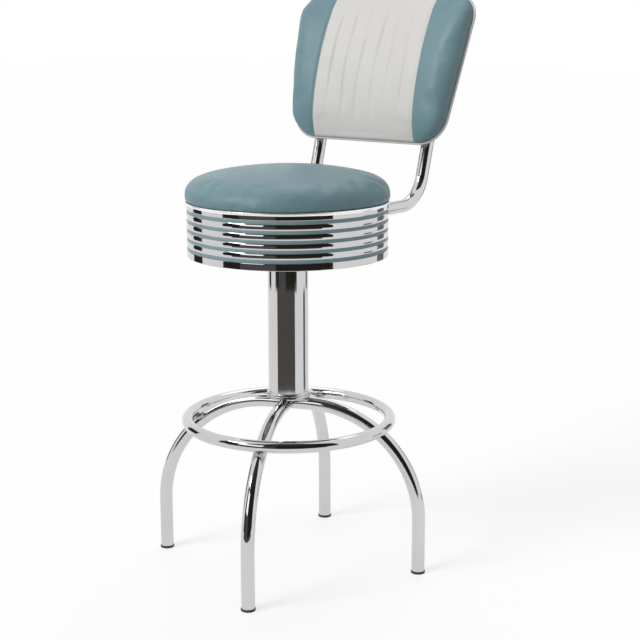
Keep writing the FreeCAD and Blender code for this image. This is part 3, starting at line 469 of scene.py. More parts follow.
SLOT_FINISH = {
    "chrome": CHROME, "black_nylon": NYLON, "plated_steel": STEEL, "bronze": BRONZE, "plywood": PLYWOOD,
    "foam": FOAM, "teal_vinyl": TEAL, "white_vinyl": WHITE, "teal_strip": STRIP,
}

for entry in frame["record"]["subparts"]:
    carried = frame["nodes"][entry["node"]]
    carried.data.materials.clear()
    carried.data.materials.append(SLOT_FINISH[entry["material_slot"]])


def stands_for(obj, body, slot, *nodes):
    """obj rides on a body and stands for the frame's nodes; slot is not used."""
    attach(obj, body)
    if nodes:
        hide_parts(*nodes)
    return obj


# Base: four bent legs on glides, mitred under a hub plate, with a foot ring laid on their bends
def leg_direction(side):
    outward = middle("glide_" + side) - AXIS
    return Vector((outward.x, outward.y, 0)).normalized()


def leg_path(outward):
    low = GLIDE_FLANGE + LEG_UPRIGHT
    bend = arc(FOOT_CIRCLE - LEG_BEND, low, LEG_BEND, 0, 90, 48)
    line = [(FOOT_CIRCLE, GLIDE_FLANGE + 20 * MM * k) for k in range(5)]
    line += bend + [(0, low + LEG_BEND), (-30 * MM, low + LEG_BEND)]
    return [AXIS + outward * reach + Vector((0, 0, height)) for reach, height in line]


def mitred(obj, outward):
    """Cuts the inner end of a leg back to the two upright planes that it shares with its neighbours."""
    form = bmesh.new()
    form.from_mesh(obj.data)
    for turn in (45, -45):
        edge = Matrix.Rotation(math.radians(turn), 3, "Z") @ outward
        away = Vector((-edge.y, edge.x, 0)) * (1 if turn > 0 else -1)
        bmesh.ops.bisect_plane(form, geom=form.verts[:] + form.edges[:] + form.faces[:], plane_co=AXIS,
                               plane_no=away, clear_outer=True)
    form.to_mesh(obj.data)
    form.free()
    obj.data.shade_smooth()
    return obj


def glide(side, outward):
    """A nylon glide: a rounded flange under the leg and a plug inside it."""
    plug = LEG_RADIUS - 2 * MM
    edge = 1.5 * MM
    profile = [(0, 0), (GLIDE_RADIUS - edge, 0)] + arc(GLIDE_RADIUS - edge, edge, edge, -90, 0, 6)
    profile += arc(GLIDE_RADIUS - edge / 2, GLIDE_FLANGE - edge / 2, edge / 2, 0, 90, 4)
    profile += [(plug, GLIDE_FLANGE), (plug, GLIDE_FLANGE + 15 * MM), (0, GLIDE_FLANGE + 15 * MM)]
    obj = lathe("glide_" + side + "_cap", profile, NYLON, steps=64, closed=False)
    obj.data.transform(Matrix.Translation(outward * FOOT_CIRCLE))
    return obj


def ring_seat(outward):
    """The point where the foot ring touches a leg, and the direction from the leg to the ring."""
    bend_centre = Vector((FOOT_CIRCLE - LEG_BEND, GLIDE_FLANGE + LEG_UPRIGHT))
    ring_centre = Vector((RING_CIRCLE, middle("foot_ring").z))
    towards = (ring_centre - bend_centre).normalized()
    touch = bend_centre + towards * (LEG_BEND + LEG_RADIUS)
    point = AXIS + outward * touch.x + Vector((0, 0, touch.y))
    return point, outward * towards.x + Vector((0, 0, towards.y))


def seat_weld(side, number, outward):
    """The small oval weld around the place where the foot ring rests on a leg."""
    point, normal = ring_seat(outward)
    sideways = Vector((-outward.y, outward.x, 0))
    along = normal.cross(sideways)
    oval = [point + sideways * 5.5 * MM * math.cos(a) + along * 4.5 * MM * math.sin(a)
            for a in (2 * math.pi * k / 24 for k in range(24))]
    bead = grown("ring_weld_" + side, WELD_TREE, polyline(oval, True), WELD, Drop=1.9 * MM, Spacing=1.7 * MM,
                 Seed=number)
    return stands_for(bead, "base", "chrome")


for number, side in enumerate(("right", "rear", "left", "front")):
    outward = leg_direction(side)
    tube = grown("leg_%s_tube" % side, TUBE_TREE, polyline(leg_path(outward)), CHROME,
                 Radius=LEG_RADIUS, Sides=64)
    stands_for(mitred(tube, outward), "base", "chrome", "leg_" + side)
    stands_for(glide(side, outward), "base", "black_nylon", "glide_" + side)
    seat_weld(side, number, outward)


def circle(radius, height, count):
    """Points around the swivel axis at a height."""
    points = []
    for k in range(count):
        angle = 2 * math.pi * k / count
        points.append(AXIS + Vector((radius * math.sin(angle), radius * math.cos(angle), height)))
    return points


def make_foot_rail():
    path = polyline(circle(RING_CIRCLE, middle("foot_ring").z, 192), True)
    rail = grown("foot_rail", TUBE_TREE, path, CHROME, Radius=RING_RADIUS, Sides=64)
    stands_for(rail, "base", "chrome", "foot_ring")


def make_hub():
    """The disc that closes the mitred legs under the column."""
    low, high = (corner.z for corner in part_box("hub_plate"))
    edge = 1.2 * MM
    profile = [(0, low), (HUB_RADIUS - edge, low)]
    profile += arc(HUB_RADIUS - edge, low + edge, edge, -90, 0, 5)
    profile += arc(HUB_RADIUS - edge, high - edge, edge, 0, 90, 5)
    disc = lathe("hub_disc", profile + [(0, high)], CHROME, steps=96, closed=False)
    stands_for(disc, "base", "chrome", "hub_plate")


def make_column():
    bore = COLUMN_RADIUS - COLUMN_WALL
    edge = 0.6 * MM
    profile = [(bore, COLUMN_FOOT), (COLUMN_RADIUS, COLUMN_FOOT), (COLUMN_RADIUS, COLUMN_HEAD - edge),
               (COLUMN_RADIUS - edge, COLUMN_HEAD), (bore, COLUMN_HEAD)]
    stands_for(lathe("column_post", profile, CHROME, steps=128), "base", "chrome", "column_tube")


def make_collar():
    """The rounded collar around the column's foot, and the weld bead over it."""
    profile = [(COLUMN_RADIUS, COLUMN_FOOT), (COLUMN_RADIUS + COLLAR_RIM, COLUMN_FOOT)]
    profile += arc(COLUMN_RADIUS, COLUMN_FOOT + COLLAR_STRAIGHT, COLLAR_RIM, 0, 90, 10)
    stands_for(lathe("column_collar_ring", profile, CHROME, steps=128), "base", "chrome", "column_collar")
    path = polyline(circle(COLUMN_RADIUS + 1.2 * MM, COLUMN_FOOT + 0.9 * MM, 96), True)
    bead = grown("column_weld", WELD_TREE, path, WELD, Drop=2.1 * MM, Spacing=2.3 * MM, Seed=11)
    stands_for(bead, "base", "chrome")


make_foot_rail()
make_hub()
make_column()
make_collar()


# Ribbed band: a flared lip, a plain zone and crowned ribs with coloured strips let in between them
def groove_floor(k):
    return BAND_TOP - LIP_HEIGHT - PLAIN_ZONE - GROOVE_HEIGHT - k * GROOVE_PITCH


def rib(low, high):
    """The rounded face of a rib between two grooves, from low to high."""
    half = (high - low) / 2
    points = []
    for k in range(15):
        share = -1 + 2 * k / 14
        points.append((BAND_RADIUS - RIB_CROWN * abs(share) ** 2.6, low + half + half * share))
    return points


def band_profile():
    hem = 0.9 * MM
    points = [(BAND_BORE, BAND_FOOT), (BAND_RADIUS - hem, BAND_FOOT)]
    points += arc(BAND_RADIUS - hem, BAND_FOOT + hem, hem, -90, 0, 5)
    low = None
    for k in reversed(range(GROOVE_COUNT)):
        floor = groove_floor(k)
        if low is None:
            points += [(BAND_RADIUS, BAND_FOOT + hem + 0.2 * MM), (BAND_RADIUS, floor - 1.4 * MM),
                       (BAND_RADIUS, floor - 1.2 * MM), (BAND_RADIUS - 0.35 * MM, floor - 0.35 * MM),
                       (BAND_RADIUS - 1.2 * MM, floor)]
        else:
            points += rib(low, floor)
        low = floor + GROOVE_HEIGHT
        points += [(BAND_RADIUS - GROOVE_DEPTH, floor), (BAND_RADIUS - GROOVE_DEPTH, low)]
    points += [(BAND_RADIUS - 1.2 * MM, low), (BAND_RADIUS - 0.35 * MM, low + 0.35 * MM),
               (BAND_RADIUS, low + 1.2 * MM), (BAND_RADIUS, low + 1.4 * MM)]
    lip_foot = BAND_TOP - LIP_HEIGHT
    return points + [(BAND_RADIUS, lip_foot - 0.2 * MM), (BAND_RADIUS, lip_foot), (BAND_BORE, lip_foot)]


def lip_profile():
    """The band's flared lip with its rolled edge."""
    roll = 1.3 * MM
    lip_foot = BAND_TOP - LIP_HEIGHT
    points = [(BAND_BORE, lip_foot), (BAND_RADIUS, lip_foot)]
    for k in range(1, 9):
        share = k / 8
        points.append((BAND_RADIUS + (LIP_FLARE - roll) * share * share,
                       lip_foot + (LIP_HEIGHT - 2 * roll) * share))
    points += arc(BAND_RADIUS + LIP_FLARE - roll, BAND_TOP - roll, roll, -60, 90, 10)
    return points + [(BAND_BORE, BAND_TOP)]


def tube_cutters():
    """Two round bars where the back tubes leave the band."""
    form = bmesh.new()
    for side in (-1, 1):
        bar = Matrix.Translation(AXIS + Vector((side * TUBE_SIDE, 150 * MM, TUBE_HEIGHT))) @ Matrix.Rotation(
            math.radians(90), 4, "X")
        bmesh.ops.create_cone(form, cap_ends=True, segments=64, radius1=TUBE_RADIUS + 0.5 * MM,
                              radius2=TUBE_RADIUS + 0.5 * MM, depth=140 * MM, matrix=bar)
    mesh = bpy.data.meshes.new("tube_cutters")
    form.to_mesh(mesh)
    form.free()
    return piece("tube_cutters", mesh, CHROME)


def with_tube_holes(obj):
    cutters = tube_cutters()
    holes = obj.modifiers.new("holes", "BOOLEAN")
    holes.operation = "DIFFERENCE"
    holes.object = cutters
    holes.solver = "EXACT"
    settled(obj)
    bpy.data.objects.remove(cutters)
    shade(obj.data, 35)
    return obj


def make_band():
    band = with_tube_holes(lathe("ribbed_band", band_profile(), CHROME, steps=256))
    stands_for(band, "seat", "chrome", "seat_band")
    # The lip takes the near-white plate of the painted highlight.
    stands_for(lathe("band_lip", lip_profile(), LIP_HIGHLIGHT_PLATE, steps=256), "seat", "chrome")


def make_strip(k):
    """The coloured strip in groove k; the back tubes pass through the two topmost."""
    clearance = 0.1 * MM
    low = groove_floor(k) + clearance
    high = low + GROOVE_HEIGHT - 2 * clearance
    inner = BAND_RADIUS - GROOVE_DEPTH + clearance / 2
    outer = inner + INLAY_THICKNESS
    crown = 0.35 * MM
    edge = 1.6 * MM
    profile = [(inner, low), (outer - crown, low), (outer, low + edge),
               (outer + crown / 2, (low + high) / 2),
               (outer, high - edge), (outer - crown, high), (inner, high)]
    strip = lathe("groove_strip_%d" % (k + 1), profile, STRIP, steps=192, sharp_angle=60)
    if k < 2:
        with_tube_holes(strip)
    stands_for(strip, "seat", "teal_strip", "band_inlay_%d" % (k + 1))


make_band()
for k in range(GROOVE_COUNT):
    make_strip(k)


# Back tubes: under the board, out of the band, up through a bend and back behind the rest
def back_tube_path(side):
    turn = 90 - math.degrees(BACK_LEAN)
    line = [(TUBE_START, TUBE_HEIGHT), (0, TUBE_HEIGHT)]
    line += arc(TUBE_RUN, TUBE_HEIGHT + TUBE_BEND, TUBE_BEND, -90, -90 + turn, 40)
    reach, height = line[-1]
    straight = TUBE_BELOW_REST + TUBE_BEHIND_REST
    for share in (0.25, 0.5, 0.75, 1.0):
        rise = straight * share
        line.append((reach + rise * math.sin(BACK_LEAN), height + rise * math.cos(BACK_LEAN)))
    return [AXIS + Vector((side * TUBE_SIDE, along, up)) for along, up in line]


for name, side in (("left", -1), ("right", 1)):
    tube = grown("back_tube_%s_bend" % name, TUBE_TREE, polyline(back_tube_path(side)), CHROME,
                 Radius=TUBE_RADIUS, Sides=64)
    stands_for(tube, "seat", "chrome", "back_tube_" + name)


# Padding: closed forms blown up as cloth
def remeshed(obj, voxel, smoothing):
    remesh = obj.modifiers.new("remesh", "REMESH")
    remesh.mode = "VOXEL"
    remesh.voxel_size = voxel
    even = obj.modifiers.new("even", "SMOOTH")
    even.factor = 0.5
    even.iterations = smoothing
    return settled(obj)


def calmed(obj, turns):
    """Evens out small creases."""
    even = obj.modifiers.new("even", "SMOOTH")
    even.factor = 0.5
    even.iterations = turns
    return settled(obj)


def blown_up(obj, held, cap):
    """Inflates obj as cloth with the held points fixed; no point moves further than cap."""
    mesh = obj.data
    start = [vertex.co.copy() for vertex in mesh.vertices]
    fixed = [k for k, place in enumerate(start) if held(place)]
    group = obj.vertex_groups.new(name="held")
    group.add(fixed, 1.0, "REPLACE")
    cloth = obj.modifiers.new("cloth", "CLOTH")
    cloth.settings.quality = 3
    cloth.settings.mass = 0.3
    cloth.settings.tension_stiffness = 12
    cloth.settings.compression_stiffness = 12
    cloth.settings.shear_stiffness = 6
    cloth.settings.bending_stiffness = 2
    cloth.settings.use_pressure = True
    cloth.settings.uniform_pressure_force = 4
    cloth.settings.vertex_group_mass = "held"
    cloth.settings.effector_weights.gravity = 0
    for step in range(1, 21):
        scene.frame_set(step)
    shown = obj.evaluated_get(bpy.context.evaluated_depsgraph_get())
    moved = [vertex.co.copy() for vertex in shown.data.vertices]
    obj.modifiers.remove(cloth)
    obj.vertex_groups.clear()
    scene.frame_set(1)
    for vertex, origin, place in zip(mesh.vertices, start, moved):
        shift = place - origin
        if shift.length > 1e-7:
            vertex.co = origin + shift * (cap * math.tanh(shift.length / cap) / shift.length)
    return obj


def subdivided(obj, levels=1):
    finer = obj.modifiers.new("finer", "SUBSURF")
    finer.levels = finer.render_levels = levels
    settled(obj)
    obj.data.shade_smooth()
    return obj


def cushion_side(inset):
    """The cushion's side and crown from its overhang above the band to its middle, inset by a thickness."""
    girth = CUSHION_FOOT + CUSHION_UNDERHANG
    shoulder_centre = CUSHION_RADIUS - CUSHION_SHOULDER
    rise = CUSHION_CROWN - CUSHION_SHOULDER
    crown_drop = (shoulder_centre ** 2 - rise ** 2) / (2 * rise)
    tangent = math.degrees(math.atan2(crown_drop, shoulder_centre))
    drawn = (CUSHION_UNDERHANG - inset) / CUSHION_UNDERHANG
    points = [(CUSHION_RADIUS - CUSHION_UNDERHANG + x * drawn, girth + z)
              for x, z in arc(0, 0, CUSHION_UNDERHANG, -90, 0, 8)]
    points += arc(shoulder_centre, girth, CUSHION_SHOULDER - inset, 0, tangent, 16)[1:]
    points += arc(0, girth - crown_drop, crown_drop + CUSHION_CROWN - inset, tangent, 90, 24)[1:]
    return points[:-1] + [(0, points[-1][1])]


def make_cushion():
    growth = 3 * MM
    profile = [(0, CUSHION_FOOT)] + cushion_side(growth)
    obj = lathe("seat_cushion", profile, TEAL, steps=128, closed=False)
    remeshed(obj, 6 * MM, 2)
    blown_up(obj, lambda p: p.z < CUSHION_FOOT + 2 * MM, growth * 1.15)
    calmed(obj, 3)
    subdivided(obj)
    soft_zone = 4 * MM
    flattened = 1.5 * MM
    for vertex in obj.data.vertices:
        rise = vertex.co.z - CUSHION_FOOT
        if (vertex.co - AXIS).xy.length < BOARD_RADIUS:
            vertex.co.z = max(vertex.co.z, BOARD_TOP + 0.2 * MM)
        elif rise < soft_zone:
            vertex.co.z = CUSHION_FOOT + max(0, rise - flattened) * soft_zone / (soft_zone - flattened)
    obj.data.materials.clear()
    obj.data.materials.append(TEAL)
    return obj


def make_cover_edge():
    """The cover's turned-down edge around the board."""
    inner = BOARD_RADIUS + 0.05 * MM
    outer = BOARD_RADIUS + COVER_THICKNESS
    top = CUSHION_FOOT + 2 * MM
    profile = [(inner, BOARD_FOOT), (outer, BOARD_FOOT), (outer, top), (inner, top)]
    return lathe("seat_cover_edge", profile, TEAL, steps=160)


cushion = make_cushion()
stands_for(cushion, "seat", "teal_vinyl", "seat_foam", "seat_cover")
stands_for(make_cover_edge(), "seat", "teal_vinyl")


# Back rest: a padded front in three sewn panels, piping around it and a plain padded rear
def rest_outline(inset, count=14):
    """The rest's rounded outline as points (across, up), inset by a thickness; the bottom comes first."""
    slope = math.atan2(REST_TOP_HALF - REST_BOTTOM_HALF, REST_HEIGHT)
    side = inset / math.cos(slope)
    low = REST_BOTTOM_HALF + inset * math.tan(slope) - side
    high = REST_TOP_HALF - inset * math.tan(slope) - side
    corners = [(-low, inset, REST_BOTTOM_ROUND), (low, inset, REST_BOTTOM_ROUND),
               (high, REST_HEIGHT - inset, REST_TOP_ROUND), (-high, REST_HEIGHT - inset, REST_TOP_ROUND)]
    points = []
    for k, (x, z, radius) in enumerate(corners):
        corner = Vector((x, z))
        before = (Vector(corners[k - 1][:2]) - corner).normalized()
        after = (Vector(corners[(k + 1) % 4][:2]) - corner).normalized()
        half = before.angle(after) / 2
        bisector = (before + after).normalized()
        centre = corner + bisector * ((radius - inset) / math.sin(half))
        first = corner + before * ((radius - inset) / math.tan(half)) - centre
        last = corner + after * ((radius - inset) / math.tan(half)) - centre
        turn = first.angle_signed(last)
        for n in range(count + 1):
            swing = Matrix.Rotation(-turn * n / count, 2)
            points.append(tuple(centre + swing @ first))
        following = Vector(corners[(k + 1) % 4][:2])
        next_radius = corners[(k + 1) % 4][2]
        stop = following - after * ((next_radius - inset) / math.tan((math.pi - half * 2) / 2))
        begin = centre + last
        for n in range(1, 12):
            points.append(tuple(begin + (stop - begin) * n / 12))
    return points


def in_rest(points, depth):
    return [REST_FRAME @ Vector((x, depth, z)) for x, z in points]


def ringed(name, rings, material, depth_at):
    """A closed form over the rest's outline; each ring has an inset, a share of the size and a rise."""
    form = bmesh.new()
    rows = []
    for inset, share, rise in rings:
        row = []
        for x, z in rest_outline(inset):
            x, z = x * share, REST_HEIGHT / 2 + (z - REST_HEIGHT / 2) * share
            row.append(form.verts.new(REST_FRAME @ Vector((x, depth_at(x, z, rise), z))))
        rows.append(row)
    for lower, upper in zip(rows, rows[1:]):
        for k in range(len(lower)):
            n = (k + 1) % len(lower)
            form.faces.new((lower[k], lower[n], upper[n], upper[k]))
    form.faces.new(rows[0])
    form.faces.new(rows[-1])
    bmesh.ops.recalc_face_normals(form, faces=form.faces)
    mesh = bpy.data.meshes.new(name)
    form.to_mesh(mesh)
    form.free()
    return piece(name, mesh, material)


# Shares of the outline's size for the rings inside the rolled edge
INNER_SHARES = [0.97, 0.92, 0.84, 0.74, 0.62, 0.5, 0.38, 0.26, 0.14, 0.05]


def pad_form(name, growth):
    """The padded front before it is blown up: full in the lower half, hollow across, rolled at its edges."""
    roll = 34 * MM
    thinnest = 6 * MM

    def depth_at(x, z, rise):
        full = REST_DEPTH + x * x / (2 * REST_HOLLOW) - (z - REST_FULLEST) ** 2 / (2 * REST_BULGE)
        return -0.1 * MM - rise * max(thinnest, full - growth)

    rings = [(PIPING_INSET + growth, 1.0, 0.0), (1.2 * MM + growth, 1.0, 0.12), (growth, 1.0, 0.3)]
    for k in range(1, 9):
        inset = roll * (k / 8) ** 1.4
        rings.append((growth + inset, 1.0, 0.3 + 0.7 * (1 - (1 - inset / roll) ** 2.2) ** (1 / 2.2)))
    rings += [(growth + roll, share, 1.0) for share in INNER_SHARES]
    return ringed(name, rings, TEAL, depth_at)


def valley(distance, width):
    """1 at the middle of a seam, falling smoothly to 0 at its width."""
    share = min(abs(distance) / width, 1.0)
    return (1 - share * share) ** 2


def pressed(obj, depth_at):
    """Moves the points of the pad's front in along Y of the rest by depth_at(x, z)."""
    to_rest = REST_FRAME.inverted()
    inward = (REST_FRAME.to_3x3() @ Vector((0, 1, 0))).normalized()
    for vertex in obj.data.vertices:
        place = to_rest @ vertex.co
        if place.y < 0.5 * MM:
            vertex.co += inward * depth_at(place)
    return obj


def fullness(place):
    """0 at the pad's rear edge, rising to 1 on its front."""
    return min(1.0, max(0.0, -place.y / (20 * MM)))


def seam_press(place):
    return SEAM_DEPTH * valley(abs(place.x) - SEAM_SIDE, SEAM_WIDTH) * fullness(place)


def channel_press(place):
    """Soft upright channels that fade towards the top and the bottom and waver a little."""
    pitch = 2 * SEAM_SIDE / CHANNEL_COUNT
    total = 0.0
    for k in range(1, CHANNEL_COUNT):
        waver = 4.5 * MM * noise.noise(Vector((k * 3.1, place.z * 9, 0)))
        reach = 0.75 + 0.25 * noise.noise(Vector((k * 7.7, 1.3, 2.0)))
        up = (place.z - 0.53 * REST_HEIGHT) / (0.5 * REST_HEIGHT)
        fade = max(0.0, 1 - (abs(up) / reach) ** 4)
        strength = 1 + 0.9 * noise.noise(Vector((k * 5.3, place.z * 11, 4.0)))
        middle_line = -SEAM_SIDE + k * pitch + waver
        total += strength * fade * valley(place.x - middle_line, SEAM_WIDTH)
    return CHANNEL_DEPTH * total * fullness(place)


def panel(source, name, material, low, high):
    """The part of the pad between two upright planes, with its cut edges turned in."""
    form = bmesh.new()
    form.from_mesh(source.data)
    across = (REST_FRAME.to_3x3() @ Vector((1, 0, 0))).normalized()
    for edge, sign in ((low, -1), (high, 1)):
        if abs(edge) < REST_TOP_HALF:
            at = REST_FRAME @ Vector((edge, 0, 0))
            bmesh.ops.bisect_plane(form, geom=form.verts[:] + form.edges[:] + form.faces[:], plane_co=at,
                                   plane_no=across * sign, clear_outer=True)
    rim = [edge for edge in form.edges if edge.is_boundary]
    hem = bmesh.ops.extrude_edge_only(form, edges=rim)["geom"]
    centre = REST_FRAME @ Vector(((low + high) / 2, -5 * MM, REST_HEIGHT / 2))
    for vertex in (g for g in hem if isinstance(g, bmesh.types.BMVert)):
        vertex.co += (centre - vertex.co).normalized() * 4 * MM
    bmesh.ops.recalc_face_normals(form, faces=form.faces)
    mesh = bpy.data.meshes.new(name)
    form.to_mesh(mesh)
    form.free()
    shade(mesh, 50)
    return piece(name, mesh, material)


def ways_to_loop(places, loop):
    """The shortest way from each flat place to a closed loop of points."""
    ways = np.zeros_like(places)
    nearest = np.full(len(places), np.inf)
    for first, last in zip(loop, np.roll(loop, -1, axis=0)):
        run = last - first
        share = np.clip((places - first) @ run / (run @ run), 0, 1)
        way = first + share[:, None] * run - places
        length = np.hypot(way[:, 0], way[:, 1])
        closer = length < nearest
        nearest[closer] = length[closer]
        ways[closer] = way[closer]
    return ways


def drawn_to_piping(obj):
    """Draws the pad's rear edge to the piping that runs around it, all the way round."""
    to_rest = REST_FRAME.inverted()
    turned = to_rest.to_3x3()
    edge_zone = 10 * MM
    reach = 16 * MM
    front_gap = 2.5 * MM
    rear_gap = 0.1 * MM
    places = [to_rest @ vertex.co for vertex in obj.data.vertices]
    normals = [turned @ vertex.normal for vertex in obj.data.vertices]
    flat = np.array([(place.x, place.z) for place in places])
    ways = ways_to_loop(flat, np.array(rest_outline(PIPING_INSET)))
    for vertex, place, normal, way in zip(obj.data.vertices, places, normals, ways):
        place.y = min(place.y, -front_gap if normal.y < -0.4 else -rear_gap)
        if place.y > -edge_zone:
            near = min(1.0, math.hypot(*way) / reach)
            pull = (1 - near ** 4) * (1 - (-place.y / edge_zone) ** 2)
            place.x += way[0] * pull
            place.z += way[1] * pull
        vertex.co = REST_FRAME @ place
    return obj


def make_pad():
    growth = 2.5 * MM
    pad = pad_form("rest_pad", growth)
    remeshed(pad, 5.5 * MM, 3)
    to_rest = REST_FRAME.inverted()
    blown_up(pad, lambda p: (to_rest @ p).y > -1.5 * MM, growth * 1.2)
    calmed(pad, 8)
    subdivided(pad)
    drawn_to_piping(pad)
    pressed(pad, seam_press)
    outer = REST_TOP_HALF * 2
    left = panel(pad, "rest_left_panel", TEAL, -outer, -SEAM_SIDE)
    right = panel(pad, "rest_right_panel", TEAL, SEAM_SIDE, outer)
    centre = panel(pad, "rest_centre_panel", WHITE, -SEAM_SIDE, SEAM_SIDE)
    bpy.data.objects.remove(pad)
    pressed(centre, channel_press)
    return left, right, centre


rest_left, rest_right, rest_centre = make_pad()
stands_for(rest_left, "seat", "teal_vinyl", "back_cover_left", "back_foam")
stands_for(rest_right, "seat", "teal_vinyl", "back_cover_right")
stands_for(rest_centre, "seat", "white_vinyl", "back_cover_centre")

piping_path = polyline(in_rest(rest_outline(WELT_RADIUS), WELT_RADIUS), True)
piping = grown("rest_piping", TUBE_TREE, piping_path, WHITE, Radius=WELT_RADIUS, Sides=20)
stands_for(piping, "seat", "white_vinyl", "back_welt")


def rest_rear():
    """The padded rear: a wall around the board, a rounded edge and a face that swells between the tubes."""
    wall_inset = 5.4 * MM
    edge = 9 * MM
    rings = [(wall_inset, 1.0, 0.02)]
    for k in range(9):
        angle = math.radians(90 * k / 8)
        inset = wall_inset + edge * (1 - math.cos(angle))
        rings.append((inset, 1.0, 1 - edge * (1 - math.sin(angle)) / REST_REAR))
    rings += [(wall_inset + edge, share, 1.0) for share in INNER_SHARES]

    def depth_at(x, z, rise):
        from_side = max(0.0, 1 - (x / (TUBE_SIDE - 20 * MM)) ** 2)
        from_end = max(0.0, 1 - ((z - REST_HEIGHT / 2) / (REST_HEIGHT / 2 - 15 * MM)) ** 2)
        return REST_REAR * rise + 1.5 * MM * from_side * from_end

    cover = ringed("rest_rear_cover", rings, WHITE, depth_at)
    shade(cover.data, 50)
    return cover


stands_for(rest_rear(), "seat", "white_vinyl", "back_cover_rear")


# Studio: a pale floor, plain light and the dark room that bright plate mirrors
CAMERA_AZIMUTH = math.radians(38.82)
CAMERA_DISTANCE = 2.674
CAMERA_HEIGHT = 1.055
CAMERA_PITCH = math.radians(12.2)
CAMERA_YAW = math.radians(1.28)
CAMERA_ROLL = math.radians(-0.08)
FOCAL_PIXELS = 1453
IMAGE_PIXELS = 640
SENSOR_WIDTH = 36
FLOOR_GLOW = 0.635
ROOM_LIGHT = 0.42
ROOM_SEEN = 1.0
CARD_REACH = 2.8
CARD_FOOT = 0.004


def around(azimuth, radius, height):
    """A point around the swivel axis; azimuth is in degrees to the right of the camera."""
    angle = CAMERA_AZIMUTH + math.radians(azimuth)
    return AXIS + Vector((math.sin(angle) * radius, -math.cos(angle) * radius, height))


def seen_directly(material):
    """1 for the rays of the camera, of mirrors and of glass, and 0 for the others."""
    path = add(material, "ShaderNodeLightPath")
    rays = [(0, path.outputs["Is Camera Ray"]), (1, path.outputs["Is Glossy Ray"])]
    seen = add(material, "ShaderNodeMath", rays, operation="MAXIMUM")
    seen = add(material, "ShaderNodeMath", [(0, seen.outputs[0]), (1, path.outputs["Is Transmission Ray"])],
               operation="MAXIMUM")
    return seen.outputs[0]


def make_floor():
    material, shader = finish("studio_floor", 0.9)
    shader.inputs["Base Color"].default_value = linear((180, 180, 180))
    shader.inputs["Specular IOR Level"].default_value = 0.0
    glow = add(material, "ShaderNodeEmission")
    glow.inputs["Color"].default_value = (1, 1, 1, 1)
    seen = seen_directly(material)
    strength = add(material, "ShaderNodeMath", [(0, seen)], operation="MULTIPLY")
    strength.inputs[1].default_value = FLOOR_GLOW
    join(material, strength.outputs[0], glow.inputs["Strength"])
    both = add(material, "ShaderNodeAddShader", [(0, shader.outputs[0]), (1, glow.outputs[0])])
    join(material, both.outputs[0], material.node_tree.nodes["Material Output"].inputs["Surface"])
    mesh = bpy.data.meshes.new("studio_floor")
    half = 20
    corners = [(-half, -half, 0), (half, -half, 0), (half, half, 0), (-half, half, 0)]
    mesh.from_pydata(corners, [], [(0, 1, 2, 3)])
    piece("studio_floor", mesh, material)


def card(name, tone, rows):
    """A sheet of even tone that only mirrors see; rows are lists of points of the same length."""
    material = bpy.data.materials.new(name)
    material.use_nodes = True
    material.node_tree.nodes.clear()
    glow = add(material, "ShaderNodeEmission")
    glow.inputs["Color"].default_value = linear(tone)
    result = add(material, "ShaderNodeOutputMaterial")
    join(material, glow.outputs[0], result.inputs["Surface"])
    across = len(rows[0])
    faces = [(r * across + k, r * across + k + 1, (r + 1) * across + k + 1, (r + 1) * across + k)
             for r in range(len(rows) - 1) for k in range(across - 1)]
    mesh = bpy.data.meshes.new(name)
    mesh.from_pydata([point for row in rows for point in row], [], faces)
    sheet = piece(name, mesh, material)
    sheet.visible_camera = False
    sheet.visible_diffuse = False
    sheet.visible_shadow = False
    sheet.visible_transmission = False
    return glow


def sweep(start, end, radius, height):
    return [around(start + (end - start) * k / 24, radius, height) for k in range(25)]


def wall(name, start, end, tone, low, high, radius=CARD_REACH):
    return card(name, tone, [sweep(start, end, radius, low), sweep(start, end, radius, high)])


def floor_strip(name, start, end, tone, near, far=CARD_REACH):
    return card(name, tone, [sweep(start, end, near, CARD_FOOT), sweep(start, end, far, CARD_FOOT)])


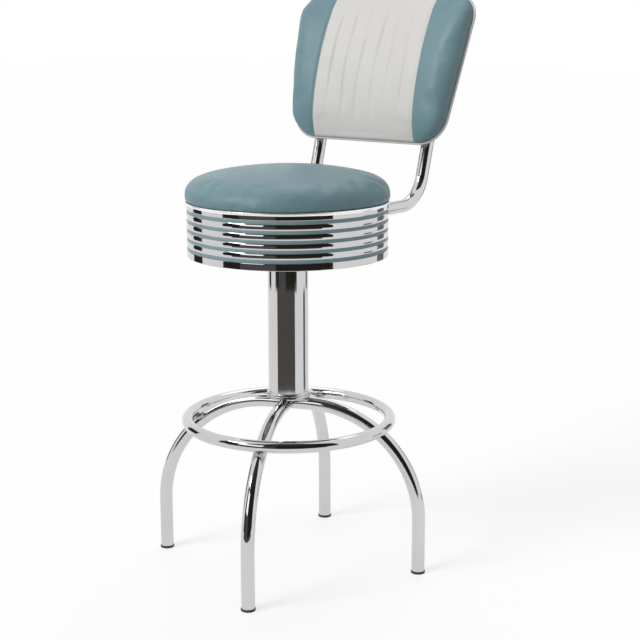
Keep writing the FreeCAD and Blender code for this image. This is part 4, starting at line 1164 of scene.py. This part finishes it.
def make_flags():
    """The dark room in front of the object, with the light that breaks it; bright plate mirrors it."""
    wall("front_dark", -13, 50, (42, 39, 33), CARD_FOOT, 2.6)
    wall("front_grey", -53, -13, (86, 84, 83), CARD_FOOT, 0.95)
    wall("front_grey_high", -27, -13, (60, 58, 57), 0.95, 2.6)
    wall("left_dark", -75, -53, (42, 40, 42), CARD_FOOT, 2.2)
    wall("far_left_dark", -129, -109, (46, 43, 46), CARD_FOOT, 1.4)
    wall("far_right_grey", 118, 136, (120, 118, 126), CARD_FOOT, 1.3)
    floor_strip("front_floor", -64, 38, (88, 84, 81), 1.3)
    floor_strip("right_floor", 94, 110, (110, 110, 108), 1.3)
    soft = wall("soft_window", -53, -27, (255, 255, 255), 0.95, 2.1)
    soft.inputs["Strength"].default_value = 1.6
    wall("over_window", -53, -27, (70, 68, 66), 2.1, 2.6)
    ceiling = [sweep(-53, 50, CARD_REACH, 2.6), sweep(-40, 40, 1.6, 3.1), sweep(-30, 30, 0.5, 3.3)]
    card("dark_ceiling", (58, 56, 54), ceiling)


def make_light():
    """Two soft suns, each with its azimuth, height, strength and softness, in an even pale room."""
    suns = [("key_light", -60, 0.6, 1.6, 30), ("back_light", 172, 1.9, 0.35, 40)]
    for name, azimuth, height, energy, softness in suns:
        sun = bpy.data.lights.new(name, "SUN")
        sun.energy = energy
        sun.angle = math.radians(softness)
        lamp = bpy.data.objects.new(name, sun)
        scene.collection.objects.link(lamp)
        towards = around(azimuth, 1, height) - AXIS
        lamp.rotation_euler = (-towards).to_track_quat("-Z", "Y").to_euler()
    world = bpy.data.worlds.new("studio")
    scene.world = world
    world.use_nodes = True
    background = world.node_tree.nodes["Background"]
    background.inputs["Color"].default_value = (1, 1, 1, 1)
    seen = seen_directly(world)
    strength = add(world, "ShaderNodeMapRange", [("Value", seen)], from_min=0, from_max=1,
                   to_min=ROOM_LIGHT, to_max=ROOM_SEEN)
    join(world, strength.outputs["Result"], background.inputs["Strength"])


def make_camera():
    lens = bpy.data.cameras.new("camera")
    lens.sensor_width = SENSOR_WIDTH
    lens.lens = FOCAL_PIXELS * SENSOR_WIDTH / IMAGE_PIXELS
    lens.clip_start, lens.clip_end = 0.05, 60
    camera = bpy.data.objects.new("camera", lens)
    scene.collection.objects.link(camera)
    turn = Matrix.Rotation(CAMERA_AZIMUTH - CAMERA_YAW, 4, "Z")
    tilt = Matrix.Rotation(math.pi / 2 - CAMERA_PITCH, 4, "X")
    aim = turn @ tilt @ Matrix.Rotation(CAMERA_ROLL, 4, "Z")
    camera.matrix_world = Matrix.Translation(around(0, CAMERA_DISTANCE, CAMERA_HEIGHT)) @ aim
    scene.camera = camera


make_floor()
make_flags()
make_light()
make_camera()
scene.view_settings.view_transform = "Standard"
